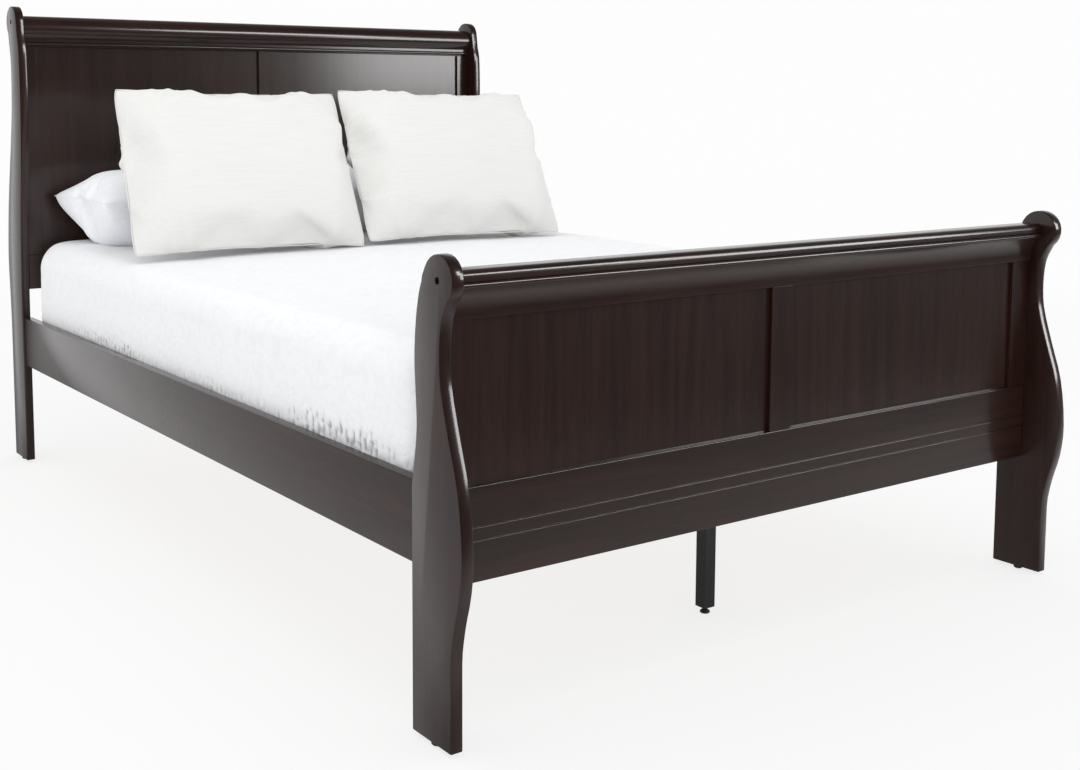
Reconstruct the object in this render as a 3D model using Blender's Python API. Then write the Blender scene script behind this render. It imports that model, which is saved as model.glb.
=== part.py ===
"""Sleigh bed, full size, dressed with a mattress, a quilt, two pillows and two shams.

Metres, +Z up.  +Y runs from the footboard to the headboard and X across the bed.
The origin is on the floor, in the middle of the bed's length and width.
"""

import math

import bmesh
import bpy
from mathutils import Matrix, Vector
from mathutils.geometry import interpolate_bezier

# ---- clearances -------------------------------------------------------------
GAP = 0.0003                 # between pieces that touch
BORE_GAP = 0.0003            # round a bolt, screw or stem in its hole
CUT_OVERRUN = 0.010          # how far a cutter starts outside the face it cuts

# ---- the whole bed ----------------------------------------------------------
BED_WIDTH = 1.448            # across the outer faces of the posts
RAIL_LENGTH = 1.919          # foot leg to head leg
FOOT_SCROLL_HEIGHT = 0.696   # centre of the footboard's scroll above the floor
HEAD_SCROLL_HEIGHT = 1.164   # centre of the headboard's scroll above the floor

# ---- posts ------------------------------------------------------------------
POST_THICKNESS = 0.022
POST_ROUND = 0.0025          # rounding of the sawn edges
FOOT_LEG_DEPTH = 0.104
FOOT_BELLY_DEPTH = 0.1325
FOOT_NECK_DEPTH = 0.0755
FOOT_SCROLL_RADIUS = 0.038
FOOT_SCROLL_REACH = 0.071    # scroll centre out from the mattress side of the leg
HEAD_LEG_DEPTH = 0.100
HEAD_BELLY_DEPTH = 0.1095
HEAD_NECK_DEPTH = 0.0295
HEAD_LEAN = 0.0425           # how far the neck comes in over the mattress
HEAD_SCROLL_RADIUS = 0.0405
HEAD_SCROLL_REACH = 0.0152
GLIDE_HEIGHT = 0.006
GLIDE_RADIUS = 0.009
GLIDE_PIN_RADIUS = 0.0013
GLIDE_PIN_LENGTH = 0.012

# ---- panelled frames --------------------------------------------------------
FRAME_THICKNESS = 0.020
PANEL_THICKNESS = 0.009
PANEL_RECESS = 0.007         # panel face behind the frame's show face
GROOVE_DEPTH = 0.008         # how far a panel's edge goes into the frame
EDGE_EASE = 0.0012           # chamfer along a frame's show edges
FOOT_FRAME_FACE = 0.054      # show face, out from the mattress side of the leg
LOWER_BOARD_BOTTOM = 0.2345
LOWER_BOARD_TOP = 0.3815
REED_HEIGHTS = (0.2985, 0.3190)   # the two lines cut along the lower board
REED_WIDTH = 0.0026
REED_DEPTH = 0.0020
FOOT_END_STILE = 0.050
FOOT_CENTRE_STILE = 0.052
FRIEZE_DROP = 0.062          # frieze's lower edge below the scroll centre
FRIEZE_FOOT = 0.0575         # its lower and upper edges, out from the leg
FRIEZE_BROW = 0.0745
FRIEZE_TOP_DROP = 0.010      # frieze's top below the scroll centre
CAP_RISE = 0.013             # cap's top above the scroll centre
CAP_FRONT = 0.0800
CAP_BACK = 0.0350
CAP_STEP = 0.005             # rabbet in the cap over the bead
CAP_HEEL = 0.008             # rounding of the cap's rear edge
CAP_NOSE_SHARE = 0.62        # how much of the cap's front edge is rounded
FOOT_BEAD_PROUD = 0.0095
FOOT_BEAD_HEIGHT = 0.0095
COVE_LIP = 0.004             # flat above and below the frieze's hollow
COVE_POWER = 2.2             # how late the hollow comes forward
HEAD_FRAME_FACE = -0.001     # show face, out from the mattress side of the leg
HEAD_BOARD_BOTTOM = 0.466
HEAD_BOTTOM_RAIL = 0.090
HEAD_END_STILE = 0.037
HEAD_CENTRE_STILE = 0.047
CREST_RADIUS = 0.0335
CREST_DROP = 0.0165          # crest's centre below the scroll centre
CREST_REACH = 0.0150         # crest's centre out from the mattress side of the leg
CREST_FLAT = 0.62            # half width of the crest's flat underside, as a share of its radius
CREST_SLOT_DEPTH = 0.024     # how far the crest comes down over the top rail
HEAD_TOP_RAIL = 0.036
HEAD_BEAD_PROUD = 0.0080
HEAD_BEAD_HEIGHT = 0.0090

# ---- side rails and their hooks ---------------------------------------------
RAIL_BOTTOM = 0.264
RAIL_HEIGHT = 0.127
RAIL_THICKNESS = 0.023
RAIL_INSET = 0.004           # rail's face behind the posts' outer face
RAIL_ROUND = 0.002
PLATE_WIDTH = 0.014
PLATE_HEIGHT = 0.100
PLATE_THICKNESS = 0.002
HOOK_THICKNESS = 0.0035
HOOK_HEIGHT = 0.018
HOOK_REACH = 0.012
HOOK_OFFSET = 0.028          # hooks above and below the plate's middle
HOOK_DROP = 0.004            # lift that unhooks a rail
HOOK_ROOM = 0.002            # spare room round a hook in its slot
BOLT_RADIUS = 0.003
BOLT_HEAD_RADIUS = 0.0052
BOLT_HEAD_HEIGHT = 0.004
BOLT_RECESS = 0.005          # head sunk below the post's face
BOLT_LENGTH = 0.050

# ---- slats, beam and middle legs --------------------------------------------
CLEAT_WIDTH = 0.022
CLEAT_HEIGHT = 0.028
CLEAT_LIFT = 0.003           # above the rail's lower edge
CLEAT_END_GAP = 0.030
SLAT_COUNT = 9
SLAT_WIDTH = 0.068
SLAT_THICKNESS = 0.018
SLAT_ROUND = 0.003
SLAT_END_GAP = 0.003
SLAT_END_MARGIN = 0.070      # end slats' middles from the ends of the rails
BEAM_WIDTH = 0.045
BEAM_HEIGHT = 0.040
BEAM_END_GAP = 0.045
LEG_COUNT = 3
LEG_END_DISTANCE = 0.120     # end legs from the ends of the rails
TUBE_SIZE = 0.025
TUBE_WALL = 0.0015
TUBE_CLEARANCE = 0.0122      # tube's lower end above the floor
LEG_PLATE_SIZE = (0.044, 0.075)
LEG_PLATE_THICKNESS = 0.003
LEG_FOOT_THICKNESS = 0.004   # threaded end of the tube
STEM_RADIUS = 0.003
STEM_LENGTH = 0.040
PAD_RADIUS = 0.0095
PAD_HEIGHT = 0.0072

# ---- bedding ----------------------------------------------------------------
MATTRESS_SIDE_GAP = 0.011    # mattress to side rail
MATTRESS_FOOT_GAP = 0.034    # mattress to the footboard's back
MATTRESS_HEAD_GAP = 0.013    # mattress to the headboard's face
MATTRESS_THICKNESS = 0.254
MATTRESS_CORNER = 0.060
MATTRESS_EDGE = 0.030
QUILT_TOP = 0.015
QUILT_SIDE = 0.0080
QUILT_DROP = 0.195           # how far its sides hang below the mattress top
PILLOW_SIZE = (0.640, 0.385, 0.200)
PILLOW_HEAD_GAP = 0.020      # between the pillows and the headboard
PILLOW_END_RISE = 0.030      # its thin ends stand higher than its middle
PILLOW_POWERS = (2.2, 0.55)  # fullness from its middle to its faces, and of its corners
PILLOW_FACE_SHARE = 0.34     # width of its flattest face, as a share of its own
SHAM_SIZE = (0.606, 0.470, 0.130)
SHAM_LEAN = math.radians(35)       # back from upright
SHAM_ROLL = math.radians(-1)       # in its own plane
SHAM_SLUMP = 0.11            # its top leans sideways, as a share of its height
SHAM_FOOT = 0.640            # middle of its lower edge, out from the headboard
SHAM_OFFSET = 0.039          # the pair sits this far towards the left side
SHAM_FLOAT = 0.012           # its lower edge above the quilt
PAIR_GAP = 0.012             # between the two pillows, and the two shams

# ---- worked out from the sizes above ----------------------------------------
BED_LENGTH = RAIL_LENGTH + FOOT_BELLY_DEPTH + HEAD_BELLY_DEPTH
FOOT_Y = FOOT_BELLY_DEPTH - BED_LENGTH / 2      # mattress side of the foot legs
HEAD_Y = FOOT_Y + RAIL_LENGTH                   # mattress side of the head legs
OUTER_X = BED_WIDTH / 2
INNER_X = OUTER_X - POST_THICKNESS
BOARD_X = INNER_X - GAP
RAIL_X = OUTER_X - RAIL_INSET
RAIL_INNER_X = RAIL_X - RAIL_THICKNESS
RAIL_TOP = RAIL_BOTTOM + RAIL_HEIGHT
PLATE_Z = RAIL_BOTTOM + RAIL_HEIGHT / 2
PLATE_X = RAIL_X - RAIL_THICKNESS / 2
CLEAT_TOP = RAIL_BOTTOM + CLEAT_LIFT + CLEAT_HEIGHT
SLAT_BOTTOM = CLEAT_TOP + GAP
SLAT_TOP = SLAT_BOTTOM + SLAT_THICKNESS
BEAM_TOP = SLAT_BOTTOM - GAP
BEAM_BOTTOM = BEAM_TOP - BEAM_HEIGHT
LEG_TOP = BEAM_BOTTOM - GAP
MATTRESS_BOTTOM = SLAT_TOP + GAP
MATTRESS_TOP = MATTRESS_BOTTOM + MATTRESS_THICKNESS
MATTRESS_X = RAIL_INNER_X - MATTRESS_SIDE_GAP
MATTRESS_Y0 = FOOT_Y - FOOT_FRAME_FACE + FRAME_THICKNESS + MATTRESS_FOOT_GAP
HEAD_FACE_Y = HEAD_Y + HEAD_FRAME_FACE
MATTRESS_Y1 = HEAD_FACE_Y - MATTRESS_HEAD_GAP
QUILT_SURFACE = MATTRESS_TOP + GAP + QUILT_TOP

COLOURS = {
    "cherry_lacquer": ((0.030, 0.012, 0.010), 0.22, 0.0),
    "pine": ((0.55, 0.40, 0.24), 0.60, 0.0),
    "black_steel": ((0.012, 0.012, 0.013), 0.35, 1.0),
    "zinc_steel": ((0.50, 0.50, 0.48), 0.35, 1.0),
    "black_plastic": ((0.015, 0.015, 0.016), 0.50, 0.0),
    "mattress_cloth": ((0.80, 0.79, 0.76), 0.85, 0.0),
    "quilt_cloth": ((0.88, 0.88, 0.89), 0.85, 0.0),
    "pillow_cotton": ((0.85, 0.86, 0.89), 0.80, 0.0),
    "sham_cloth": ((0.86, 0.85, 0.81), 0.85, 0.0),
}


# ---- shared helpers ---------------------------------------------------------
def clear_scene():
    for item in list(bpy.data.objects):
        bpy.data.objects.remove(item, do_unlink=True)


def make_material(name, kind):
    colour, roughness, metallic = COLOURS[kind]
    material = bpy.data.materials.new(name)
    material.use_nodes = True
    shader = material.node_tree.nodes["Principled BSDF"]
    shader.inputs["Base Color"].default_value = (*colour, 1.0)
    shader.inputs["Roughness"].default_value = roughness
    shader.inputs["Metallic"].default_value = metallic
    return material


def place(name, bm, kind):
    """Turns a bmesh into a named object with its own material."""
    bmesh.ops.recalc_face_normals(bm, faces=bm.faces)
    mesh = bpy.data.meshes.new(name)
    bm.to_mesh(mesh)
    bm.free()
    if kind:
        mesh.materials.append(make_material(name, kind))
    item = bpy.data.objects.new(name, mesh)
    bpy.context.scene.collection.objects.link(item)
    return item


def smooth_shade(item, angle=35):
    item.data.shade_smooth()
    item.data.set_sharp_from_angle(angle=math.radians(angle))


def add_box(bm, low, high):
    middle = (Vector(low) + Vector(high)) / 2
    size = Vector(high) - Vector(low)
    matrix = Matrix.Translation(middle) @ Matrix.Diagonal((*size, 1.0))
    bmesh.ops.create_cube(bm, size=1.0, matrix=matrix)


def board(name, low, high, kind, rounding=0.0):
    bm = bmesh.new()
    add_box(bm, low, high)
    item = place(name, bm, kind)
    if rounding:
        round_edges(item, rounding, 2)
    return item


def round_edges(item, width, segments):
    bevel = item.modifiers.new("rounding", "BEVEL")
    bevel.width = width
    bevel.segments = segments
    bevel.limit_method = "ANGLE"
    bevel.angle_limit = math.radians(50)


def prism(bm, outline, low, high, axis):
    """Adds the solid that a closed outline sweeps from low to high along an axis."""
    spots = {
        "x": lambda along, a, b: (along, a, b),
        "y": lambda along, a, b: (a, along, b),
        "z": lambda along, a, b: (a, b, along),
    }[axis]
    base = [bm.verts.new(spots(low, a, b)) for a, b in outline]
    top = [bm.verts.new(spots(high, a, b)) for a, b in outline]
    bm.faces.new(base)
    bm.faces.new(top)
    count = len(outline)
    for i in range(count):
        j = (i + 1) % count
        bm.faces.new((base[i], base[j], top[j], top[i]))


def moulding(name, outline, kind):
    """A length of moulding between the posts; the outline is in Y and Z."""
    bm = bmesh.new()
    prism(bm, outline, -BOARD_X, BOARD_X, "x")
    item = place(name, bm, kind)
    smooth_shade(item)
    return item


def turned(bm, profile, sides, centre, direction=(0, 0, 1)):
    """Adds a turned solid; the profile runs from end to end as (radius, along)."""
    turn = Vector((0, 0, 1)).rotation_difference(Vector(direction)).to_matrix().to_4x4()
    matrix = Matrix.Translation(centre) @ turn
    rings = []
    for radius, along in profile:
        if radius == 0.0:
            rings.append([bm.verts.new(matrix @ Vector((0, 0, along)))])
            continue
        ring = []
        for k in range(sides):
            angle = 2 * math.pi * k / sides
            spot = Vector((radius * math.cos(angle), radius * math.sin(angle), along))
            ring.append(bm.verts.new(matrix @ spot))
        rings.append(ring)
    for ring, following in zip(rings, rings[1:]):
        for k in range(sides):
            n = (k + 1) % sides
            corners = [ring[k % len(ring)], ring[n % len(ring)],
                       following[n % len(following)], following[k % len(following)]]
            bm.faces.new(list(dict.fromkeys(corners)))


def cut(item, bm):
    """Takes the closed shape in bm out of an item."""
    cutter = place(item.name + "_cutter", bm, None)
    cutter.hide_render = True
    cutter.display_type = "WIRE"
    boolean = item.modifiers.new("cut", "BOOLEAN")
    boolean.operation = "DIFFERENCE"
    boolean.solver = "EXACT"
    boolean.object = cutter


def skin(bm, rings, cap_first=True):
    """Skins a list of rings, capping the last ring and, unless told not to, the first."""
    made = [[bm.verts.new(spot) for spot in ring] for ring in rings]
    for ring, following in zip(made, made[1:]):
        for k in range(len(ring)):
            n = (k + 1) % len(ring)
            bm.faces.new((ring[k], ring[n], following[n], following[k]))
    if cap_first:
        bm.faces.new(made[0])
    bm.faces.new(made[-1])
    return made


def join(item, bm):
    """Adds the closed shape in bm to an item, as one body."""
    addition = place(item.name + "_addition", bm, None)
    addition.hide_render = True
    addition.display_type = "WIRE"
    boolean = item.modifiers.new("join", "BOOLEAN")
    boolean.operation = "UNION"
    boolean.solver = "EXACT"
    boolean.object = addition


def cut_cylinder(item, radius, centre, direction, length, sides=12):
    bm = bmesh.new()
    turned(bm, [(0.0, 0.0), (radius, 0.0), (radius, length), (0.0, length)],
           sides, centre, direction)
    cut(item, bm)


def cut_box(item, low, high):
    bm = bmesh.new()
    add_box(bm, low, high)
    cut(item, bm)


def arc(centre, radius, start, end, steps):
    """Points on an arc; angles in degrees, measured from the first axis."""
    points = []
    for k in range(steps + 1):
        angle = math.radians(start + (end - start) * k / steps)
        points.append((centre[0] + radius * math.cos(angle),
                       centre[1] + radius * math.sin(angle)))
    return points


def sweep(keys, steps=3):
    """A smooth curve through the key points, without repeating its last point."""
    spots = [Vector((a, b, 0.0)) for a, b in keys]
    slopes = []
    for i, spot in enumerate(spots):
        before = spots[max(i - 1, 0)]
        after = spots[min(i + 1, len(spots) - 1)]
        slopes.append((after - before).normalized())
    slopes[0] = Vector((0, 1 if keys[1][1] > keys[0][1] else -1, 0))
    curve = []
    for i in range(len(spots) - 1):
        reach = (spots[i + 1] - spots[i]).length / 3
        piece = interpolate_bezier(spots[i], spots[i] + slopes[i] * reach,
                                   spots[i + 1] - slopes[i + 1] * reach,
                                   spots[i + 1], steps + 1)
        curve += [(p.x, p.y) for p in piece[:-1]]
    return curve


# ---- posts ------------------------------------------------------------------
def foot_outline():
    """Footboard post: depth out from the mattress side, and height."""
    height = FOOT_SCROLL_HEIGHT
    leg, belly, neck = FOOT_LEG_DEPTH, FOOT_BELLY_DEPTH, FOOT_NECK_DEPTH
    swell = belly - leg
    fall = belly - neck
    scroll = (FOOT_SCROLL_REACH, height)
    outer = sweep([(leg, 0.20 * height), (leg + 0.29 * swell, 0.278 * height),
                   (leg + 0.82 * swell, 0.358 * height), (belly, 0.446 * height),
                   (belly - 0.19 * fall, 0.575 * height), (belly - 0.60 * fall, 0.682 * height),
                   (belly - 0.94 * fall, 0.779 * height), (neck, 0.848 * height),
                   (neck + 0.0042, 0.910 * height), (neck + 0.0130, 0.942 * height)])
    roll = arc(scroll, FOOT_SCROLL_RADIUS, -52, 152, 14)
    inner = sweep([(scroll[0] - 1.09 * FOOT_SCROLL_RADIUS, above_rail(height, 1.013)),
                   (0.0215, above_rail(height, 0.934)), (0.0130, above_rail(height, 0.807)),
                   (0.0082, above_rail(height, 0.613)), (0.0112, above_rail(height, 0.441)),
                   (0.0138, above_rail(height, 0.281)), (0.0085, above_rail(height, 0.121))])
    inner += [(0.0030, above_rail(height, 0.037)), (0.0, above_rail(height, -0.023))]
    return [(0.0, GLIDE_HEIGHT), (leg, GLIDE_HEIGHT)] + outer + roll + inner


def above_rail(height, share):
    """A height that is some share of the way from the side rail's top to the scroll."""
    return RAIL_TOP + share * (height - RAIL_TOP)


def head_outline():
    """Headboard post: depth out from the mattress side, and height."""
    height = HEAD_SCROLL_HEIGHT
    leg, belly, neck = HEAD_LEG_DEPTH, HEAD_BELLY_DEPTH, HEAD_NECK_DEPTH
    fall = belly - neck
    scroll = (HEAD_SCROLL_REACH, height)
    outer = sweep([(leg, 0.310 * height), (leg + 0.45 * (belly - leg), 0.388 * height),
                   (belly, 0.464 * height), (belly - 0.09 * fall, 0.533 * height),
                   (belly - 0.26 * fall, 0.606 * height), (belly - 0.50 * fall, 0.675 * height),
                   (belly - 0.76 * fall, 0.750 * height), (belly - 0.94 * fall, 0.818 * height),
                   (neck, 0.893 * height), (neck + 0.0025, 0.937 * height)])
    roll = arc(scroll, HEAD_SCROLL_RADIUS, -44, 176, 15)
    lean = HEAD_LEAN
    inner = sweep([(-0.68 * lean, above_rail(height, 0.9715)), (-0.92 * lean, above_rail(height, 0.9146)),
                   (-lean, above_rail(height, 0.819)), (-lean, above_rail(height, 0.752)),
                   (-0.90 * lean, above_rail(height, 0.634)), (-0.64 * lean, above_rail(height, 0.494)),
                   (-0.33 * lean, above_rail(height, 0.353)), (-0.11 * lean, above_rail(height, 0.214))])
    inner += [(-0.02 * lean, above_rail(height, 0.104)), (0.0, above_rail(height, 0.015))]
    return [(0.0, GLIDE_HEIGHT), (leg, GLIDE_HEIGHT)] + outer + roll + inner


def make_post(name, side, outline, edge_y, outward, scroll, leg_depth):
    """One sawn post; outward is the Y direction away from the mattress."""
    bm = bmesh.new()
    spots = [(edge_y + outward * depth, height) for depth, height in outline]
    prism(bm, spots, side * INNER_X, side * OUTER_X, "x")
    post = place(name, bm, "cherry_lacquer")
    round_edges(post, POST_ROUND, 2)
    smooth_shade(post)

    scroll_y = edge_y + outward * scroll[0]
    bore = BOLT_RADIUS + BORE_GAP
    cut_cylinder(post, bore, (side * (INNER_X - 0.01), scroll_y, scroll[1]), (side, 0, 0),
                 POST_THICKNESS + 0.02)
    sink = BOLT_RECESS + BOLT_HEAD_HEIGHT + GAP
    cut_cylinder(post, BOLT_HEAD_RADIUS + BORE_GAP,
                 (side * (OUTER_X - sink), scroll_y, scroll[1]), (side, 0, 0), 0.03, 16)

    cut_pocket(post, side * PLATE_X, edge_y - outward * CUT_OVERRUN,
               edge_y + outward * (HOOK_REACH + HOOK_ROOM),
               (HOOK_THICKNESS + HOOK_ROOM) / 2, HOOK_OFFSET + HOOK_HEIGHT / 2 + HOOK_DROP)

    middle = (side * (INNER_X + OUTER_X) / 2, edge_y + outward * leg_depth / 2, GLIDE_HEIGHT - 0.005)
    cut_cylinder(post, GLIDE_PIN_RADIUS + BORE_GAP, middle, (0, 0, 1),
                 GLIDE_PIN_LENGTH + 0.005 + GAP, 8)


def cut_pocket(item, x, y_start, y_end, half_x, half_z):
    low_y, high_y = sorted((y_start, y_end))
    cut_box(item, (x - half_x, low_y, PLATE_Z - half_z), (x + half_x, high_y, PLATE_Z + half_z))


def make_posts():
    foot_scroll = (FOOT_SCROLL_REACH, FOOT_SCROLL_HEIGHT)
    head_scroll = (HEAD_SCROLL_REACH, HEAD_SCROLL_HEIGHT)
    for side, word in ((-1, "left"), (1, "right")):
        make_post("foot_post_" + word, side, foot_outline(), FOOT_Y, -1, foot_scroll, FOOT_LEG_DEPTH)
        make_post("head_post_" + word, side, head_outline(), HEAD_Y, 1, head_scroll, HEAD_LEG_DEPTH)


def make_post_glides():
    """Four nail-on glides, one under each post."""
    radius = GLIDE_RADIUS
    top = GLIDE_HEIGHT - GAP
    profile = [(0.0, 0.0), (0.72 * radius, 0.0), (radius, 0.4 * top), (radius, top),
               (GLIDE_PIN_RADIUS, top), (GLIDE_PIN_RADIUS, top + GLIDE_PIN_LENGTH),
               (0.0, top + GLIDE_PIN_LENGTH)]
    x = (INNER_X + OUTER_X) / 2
    ends = (("foot", FOOT_Y - FOOT_LEG_DEPTH / 2), ("head", HEAD_Y + HEAD_LEG_DEPTH / 2))
    for side, word in ((-1, "left"), (1, "right")):
        for end, y in ends:
            bm = bmesh.new()
            turned(bm, profile, 12, (side * x, y, 0.0))
            smooth_shade(place("%s_glide_%s" % (end, word), bm, "black_plastic"))


def make_scroll_bolts(prefix, y, z):
    """Two bolts that hold the ends of a cap or a crest to its posts."""
    head = BOLT_HEAD_RADIUS
    profile = [(0.0, 0.0), (head, 0.0), (head, -BOLT_HEAD_HEIGHT), (BOLT_RADIUS, -BOLT_HEAD_HEIGHT),
               (BOLT_RADIUS, -BOLT_LENGTH), (0.0, -BOLT_LENGTH)]
    for side, word in ((-1, "left"), (1, "right")):
        bm = bmesh.new()
        turned(bm, profile, 12, (side * (OUTER_X - BOLT_RECESS), y, z), (side, 0, 0))
        smooth_shade(place("%s_bolt_%s" % (prefix, word), bm, "zinc_steel"))


def bore_bolt_ends(item, y, z):
    depth = BOLT_LENGTH - (POST_THICKNESS - BOLT_RECESS) + 0.002
    for side in (-1, 1):
        centre = (side * (BOARD_X + 0.005), y, z)
        cut_cylinder(item, BOLT_RADIUS + BORE_GAP, centre, (-side, 0, 0), depth + 0.005)


# ---- panelled frames --------------------------------------------------------
def frame_rail(name, edge_y, outward, show, low, high, groove_on, lines=()):
    """A flat rail of a frame, grooved for the panels on one edge.

    show is +1 when the show face looks outward from the mattress and -1 when it looks in.
    """
    face, back = frame_planes(edge_y, outward, show)
    toward = 1 if back > face else -1
    groove_front = face + toward * (PANEL_RECESS - GAP)
    groove_back = face + toward * (PANEL_RECESS + PANEL_THICKNESS + GAP)
    edge, deep = (high, high - GROOVE_DEPTH - GAP) if groove_on == "top" else (low, low + GROOVE_DEPTH + GAP)
    slot = [(groove_front, edge), (groove_front, deep), (groove_back, deep), (groove_back, edge)]
    ease = toward * EDGE_EASE
    outline = [(face + ease, low), (face, low + EDGE_EASE)]
    for height in lines:
        outline += [(face, height - REED_WIDTH / 2), (face + toward * REED_DEPTH, height),
                    (face, height + REED_WIDTH / 2)]
    outline += [(face, high - EDGE_EASE), (face + ease, high)]
    if groove_on == "top":
        outline += slot
    outline += [(back, high), (back, low)]
    if groove_on == "bottom":
        outline += reversed(slot)
    bm = bmesh.new()
    prism(bm, outline, -BOARD_X, BOARD_X, "x")
    return place(name, bm, "cherry_lacquer")


def frame_planes(edge_y, outward, show):
    """Y of a frame's show face and of its back."""
    if edge_y == FOOT_Y:
        face = edge_y + outward * FOOT_FRAME_FACE
    else:
        face = edge_y + outward * HEAD_FRAME_FACE
    return face, face - outward * show * FRAME_THICKNESS


def stile(name, edge_y, outward, show, low_x, high_x, low, high, grooves):
    """An upright of a frame, grooved for a panel on the sides named in grooves."""
    face, back = frame_planes(edge_y, outward, show)
    toward = 1 if back > face else -1
    front = face + toward * (PANEL_RECESS - GAP)
    rear = face + toward * (PANEL_RECESS + PANEL_THICKNESS + GAP)
    deep = GROOVE_DEPTH + GAP
    outline = [(low_x, face), (high_x, face)]
    if "right" in grooves:
        outline += [(high_x, front), (high_x - deep, front), (high_x - deep, rear), (high_x, rear)]
    outline += [(high_x, back), (low_x, back)]
    if "left" in grooves:
        outline += [(low_x, rear), (low_x + deep, rear), (low_x + deep, front), (low_x, front)]
    bm = bmesh.new()
    prism(bm, outline, low + GAP, high - GAP, "z")
    return place(name, bm, "cherry_lacquer")


def panels_and_stiles(prefix, edge_y, outward, show, low, high, end_width, centre_width):
    """Two panels between three stiles, from the rail below to the rail above."""
    face, back = frame_planes(edge_y, outward, show)
    toward = 1 if back > face else -1
    inner = BOARD_X - end_width
    half = centre_width / 2
    stile(prefix + "_stile_left", edge_y, outward, show, -BOARD_X, -inner, low, high, ("right",))
    stile(prefix + "_stile_centre", edge_y, outward, show, -half, half, low, high, ("left", "right"))
    stile(prefix + "_stile_right", edge_y, outward, show, inner, BOARD_X, low, high, ("left",))
    near = face + toward * PANEL_RECESS
    far = near + toward * PANEL_THICKNESS
    low_y, high_y = sorted((near, far))
    reach = GROOVE_DEPTH
    for side, word in ((-1, "left"), (1, "right")):
        x0, x1 = sorted((side * (half - reach), side * (inner + reach)))
        board(prefix + "_panel_" + word, (x0, low_y, low - reach), (x1, high_y, high + reach),
              "cherry_lacquer")


def make_footboard():
    scroll_y = FOOT_Y - FOOT_SCROLL_REACH
    scroll_z = FOOT_SCROLL_HEIGHT
    frame_rail("footboard_lower_board", FOOT_Y, -1, 1, LOWER_BOARD_BOTTOM,
               LOWER_BOARD_TOP, "top", REED_HEIGHTS)
    frieze_bottom = scroll_z - FRIEZE_DROP
    panels_and_stiles("footboard", FOOT_Y, -1, 1, LOWER_BOARD_TOP, frieze_bottom,
                      FOOT_END_STILE, FOOT_CENTRE_STILE)
    moulding("footboard_frieze", frieze_outline(frieze_bottom, scroll_z - FRIEZE_TOP_DROP),
             "cherry_lacquer")
    moulding("footboard_bead", foot_bead_outline(), "cherry_lacquer")
    cap = moulding("footboard_cap", cap_outline(), "cherry_lacquer")
    bore_bolt_ends(cap, scroll_y, scroll_z)
    make_scroll_bolts("footboard", scroll_y, scroll_z)


def frieze_outline(low, high):
    """Coved board under the cap: hollow face, grooved below for the panels."""
    face = FOOT_Y - FOOT_FRAME_FACE
    back = face + FRAME_THICKNESS
    groove_front = face + PANEL_RECESS - GAP
    groove_back = face + PANEL_RECESS + PANEL_THICKNESS + GAP
    deep = low + GROOVE_DEPTH + GAP
    foot = FOOT_Y - FRIEZE_FOOT
    brow = FOOT_Y - FRIEZE_BROW
    cove = []
    steps = 8
    for k in range(steps + 1):
        t = k / steps
        rise = (high - low - 2 * COVE_LIP) * t
        cove.append((foot + (brow - foot) * t ** COVE_POWER, low + COVE_LIP + rise))
    return ([(foot, low)] + cove + [(brow, high), (back, high), (back, low),
            (groove_back, low), (groove_back, deep), (groove_front, deep), (groove_front, low)])


def foot_bead_outline():
    """Half-round bead let in under the front of the cap."""
    back = FOOT_Y - FRIEZE_BROW - GAP
    top = FOOT_SCROLL_HEIGHT - FRIEZE_TOP_DROP + CAP_STEP - GAP
    bottom = top - FOOT_BEAD_HEIGHT
    radius = (top - bottom) / 2
    centre = (back - (FOOT_BEAD_PROUD - radius), (top + bottom) / 2)
    return [(back, bottom), (back, top)] + arc(centre, radius, 90, 270, 8)


def cap_outline():
    """Rounded cap along the top of the footboard, rabbeted over the bead."""
    low = FOOT_SCROLL_HEIGHT - FRIEZE_TOP_DROP + GAP
    high = FOOT_SCROLL_HEIGHT + CAP_RISE
    step = FOOT_Y - FRIEZE_BROW
    front = FOOT_Y - CAP_FRONT
    back = FOOT_Y - CAP_BACK
    nose = CAP_NOSE_SHARE * (high - low - CAP_STEP)
    front_arc = arc((front + nose, high - nose), nose, 180, 90, 6)
    back_arc = arc((back - CAP_HEEL, high - CAP_HEEL), CAP_HEEL, 90, 0, 5)
    return ([(step, low), (step, low + CAP_STEP), (front, low + CAP_STEP)] + front_arc + back_arc
            + [(back, low)])


def make_headboard():
    scroll_y = HEAD_Y + HEAD_SCROLL_REACH
    scroll_z = HEAD_SCROLL_HEIGHT
    crest_z = scroll_z - CREST_DROP
    rail_bottom = crest_z - CREST_RADIUS - HEAD_TOP_RAIL + CREST_SLOT_DEPTH
    frame_rail("headboard_bottom_rail", HEAD_Y, 1, -1, HEAD_BOARD_BOTTOM,
               HEAD_BOARD_BOTTOM + HEAD_BOTTOM_RAIL, "top")
    frame_rail("headboard_top_rail", HEAD_Y, 1, -1, rail_bottom, rail_bottom + HEAD_TOP_RAIL, "bottom")
    panels_and_stiles("headboard", HEAD_Y, 1, -1, HEAD_BOARD_BOTTOM + HEAD_BOTTOM_RAIL, rail_bottom,
                      HEAD_END_STILE, HEAD_CENTRE_STILE)
    crest = moulding("headboard_crest", crest_outline(crest_z, rail_bottom + HEAD_TOP_RAIL),
                     "cherry_lacquer")
    bore_bolt_ends(crest, scroll_y, scroll_z)
    moulding("headboard_bead", head_bead_outline(crest_z - CREST_RADIUS), "cherry_lacquer")
    make_scroll_bolts("headboard", scroll_y, scroll_z)


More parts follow.
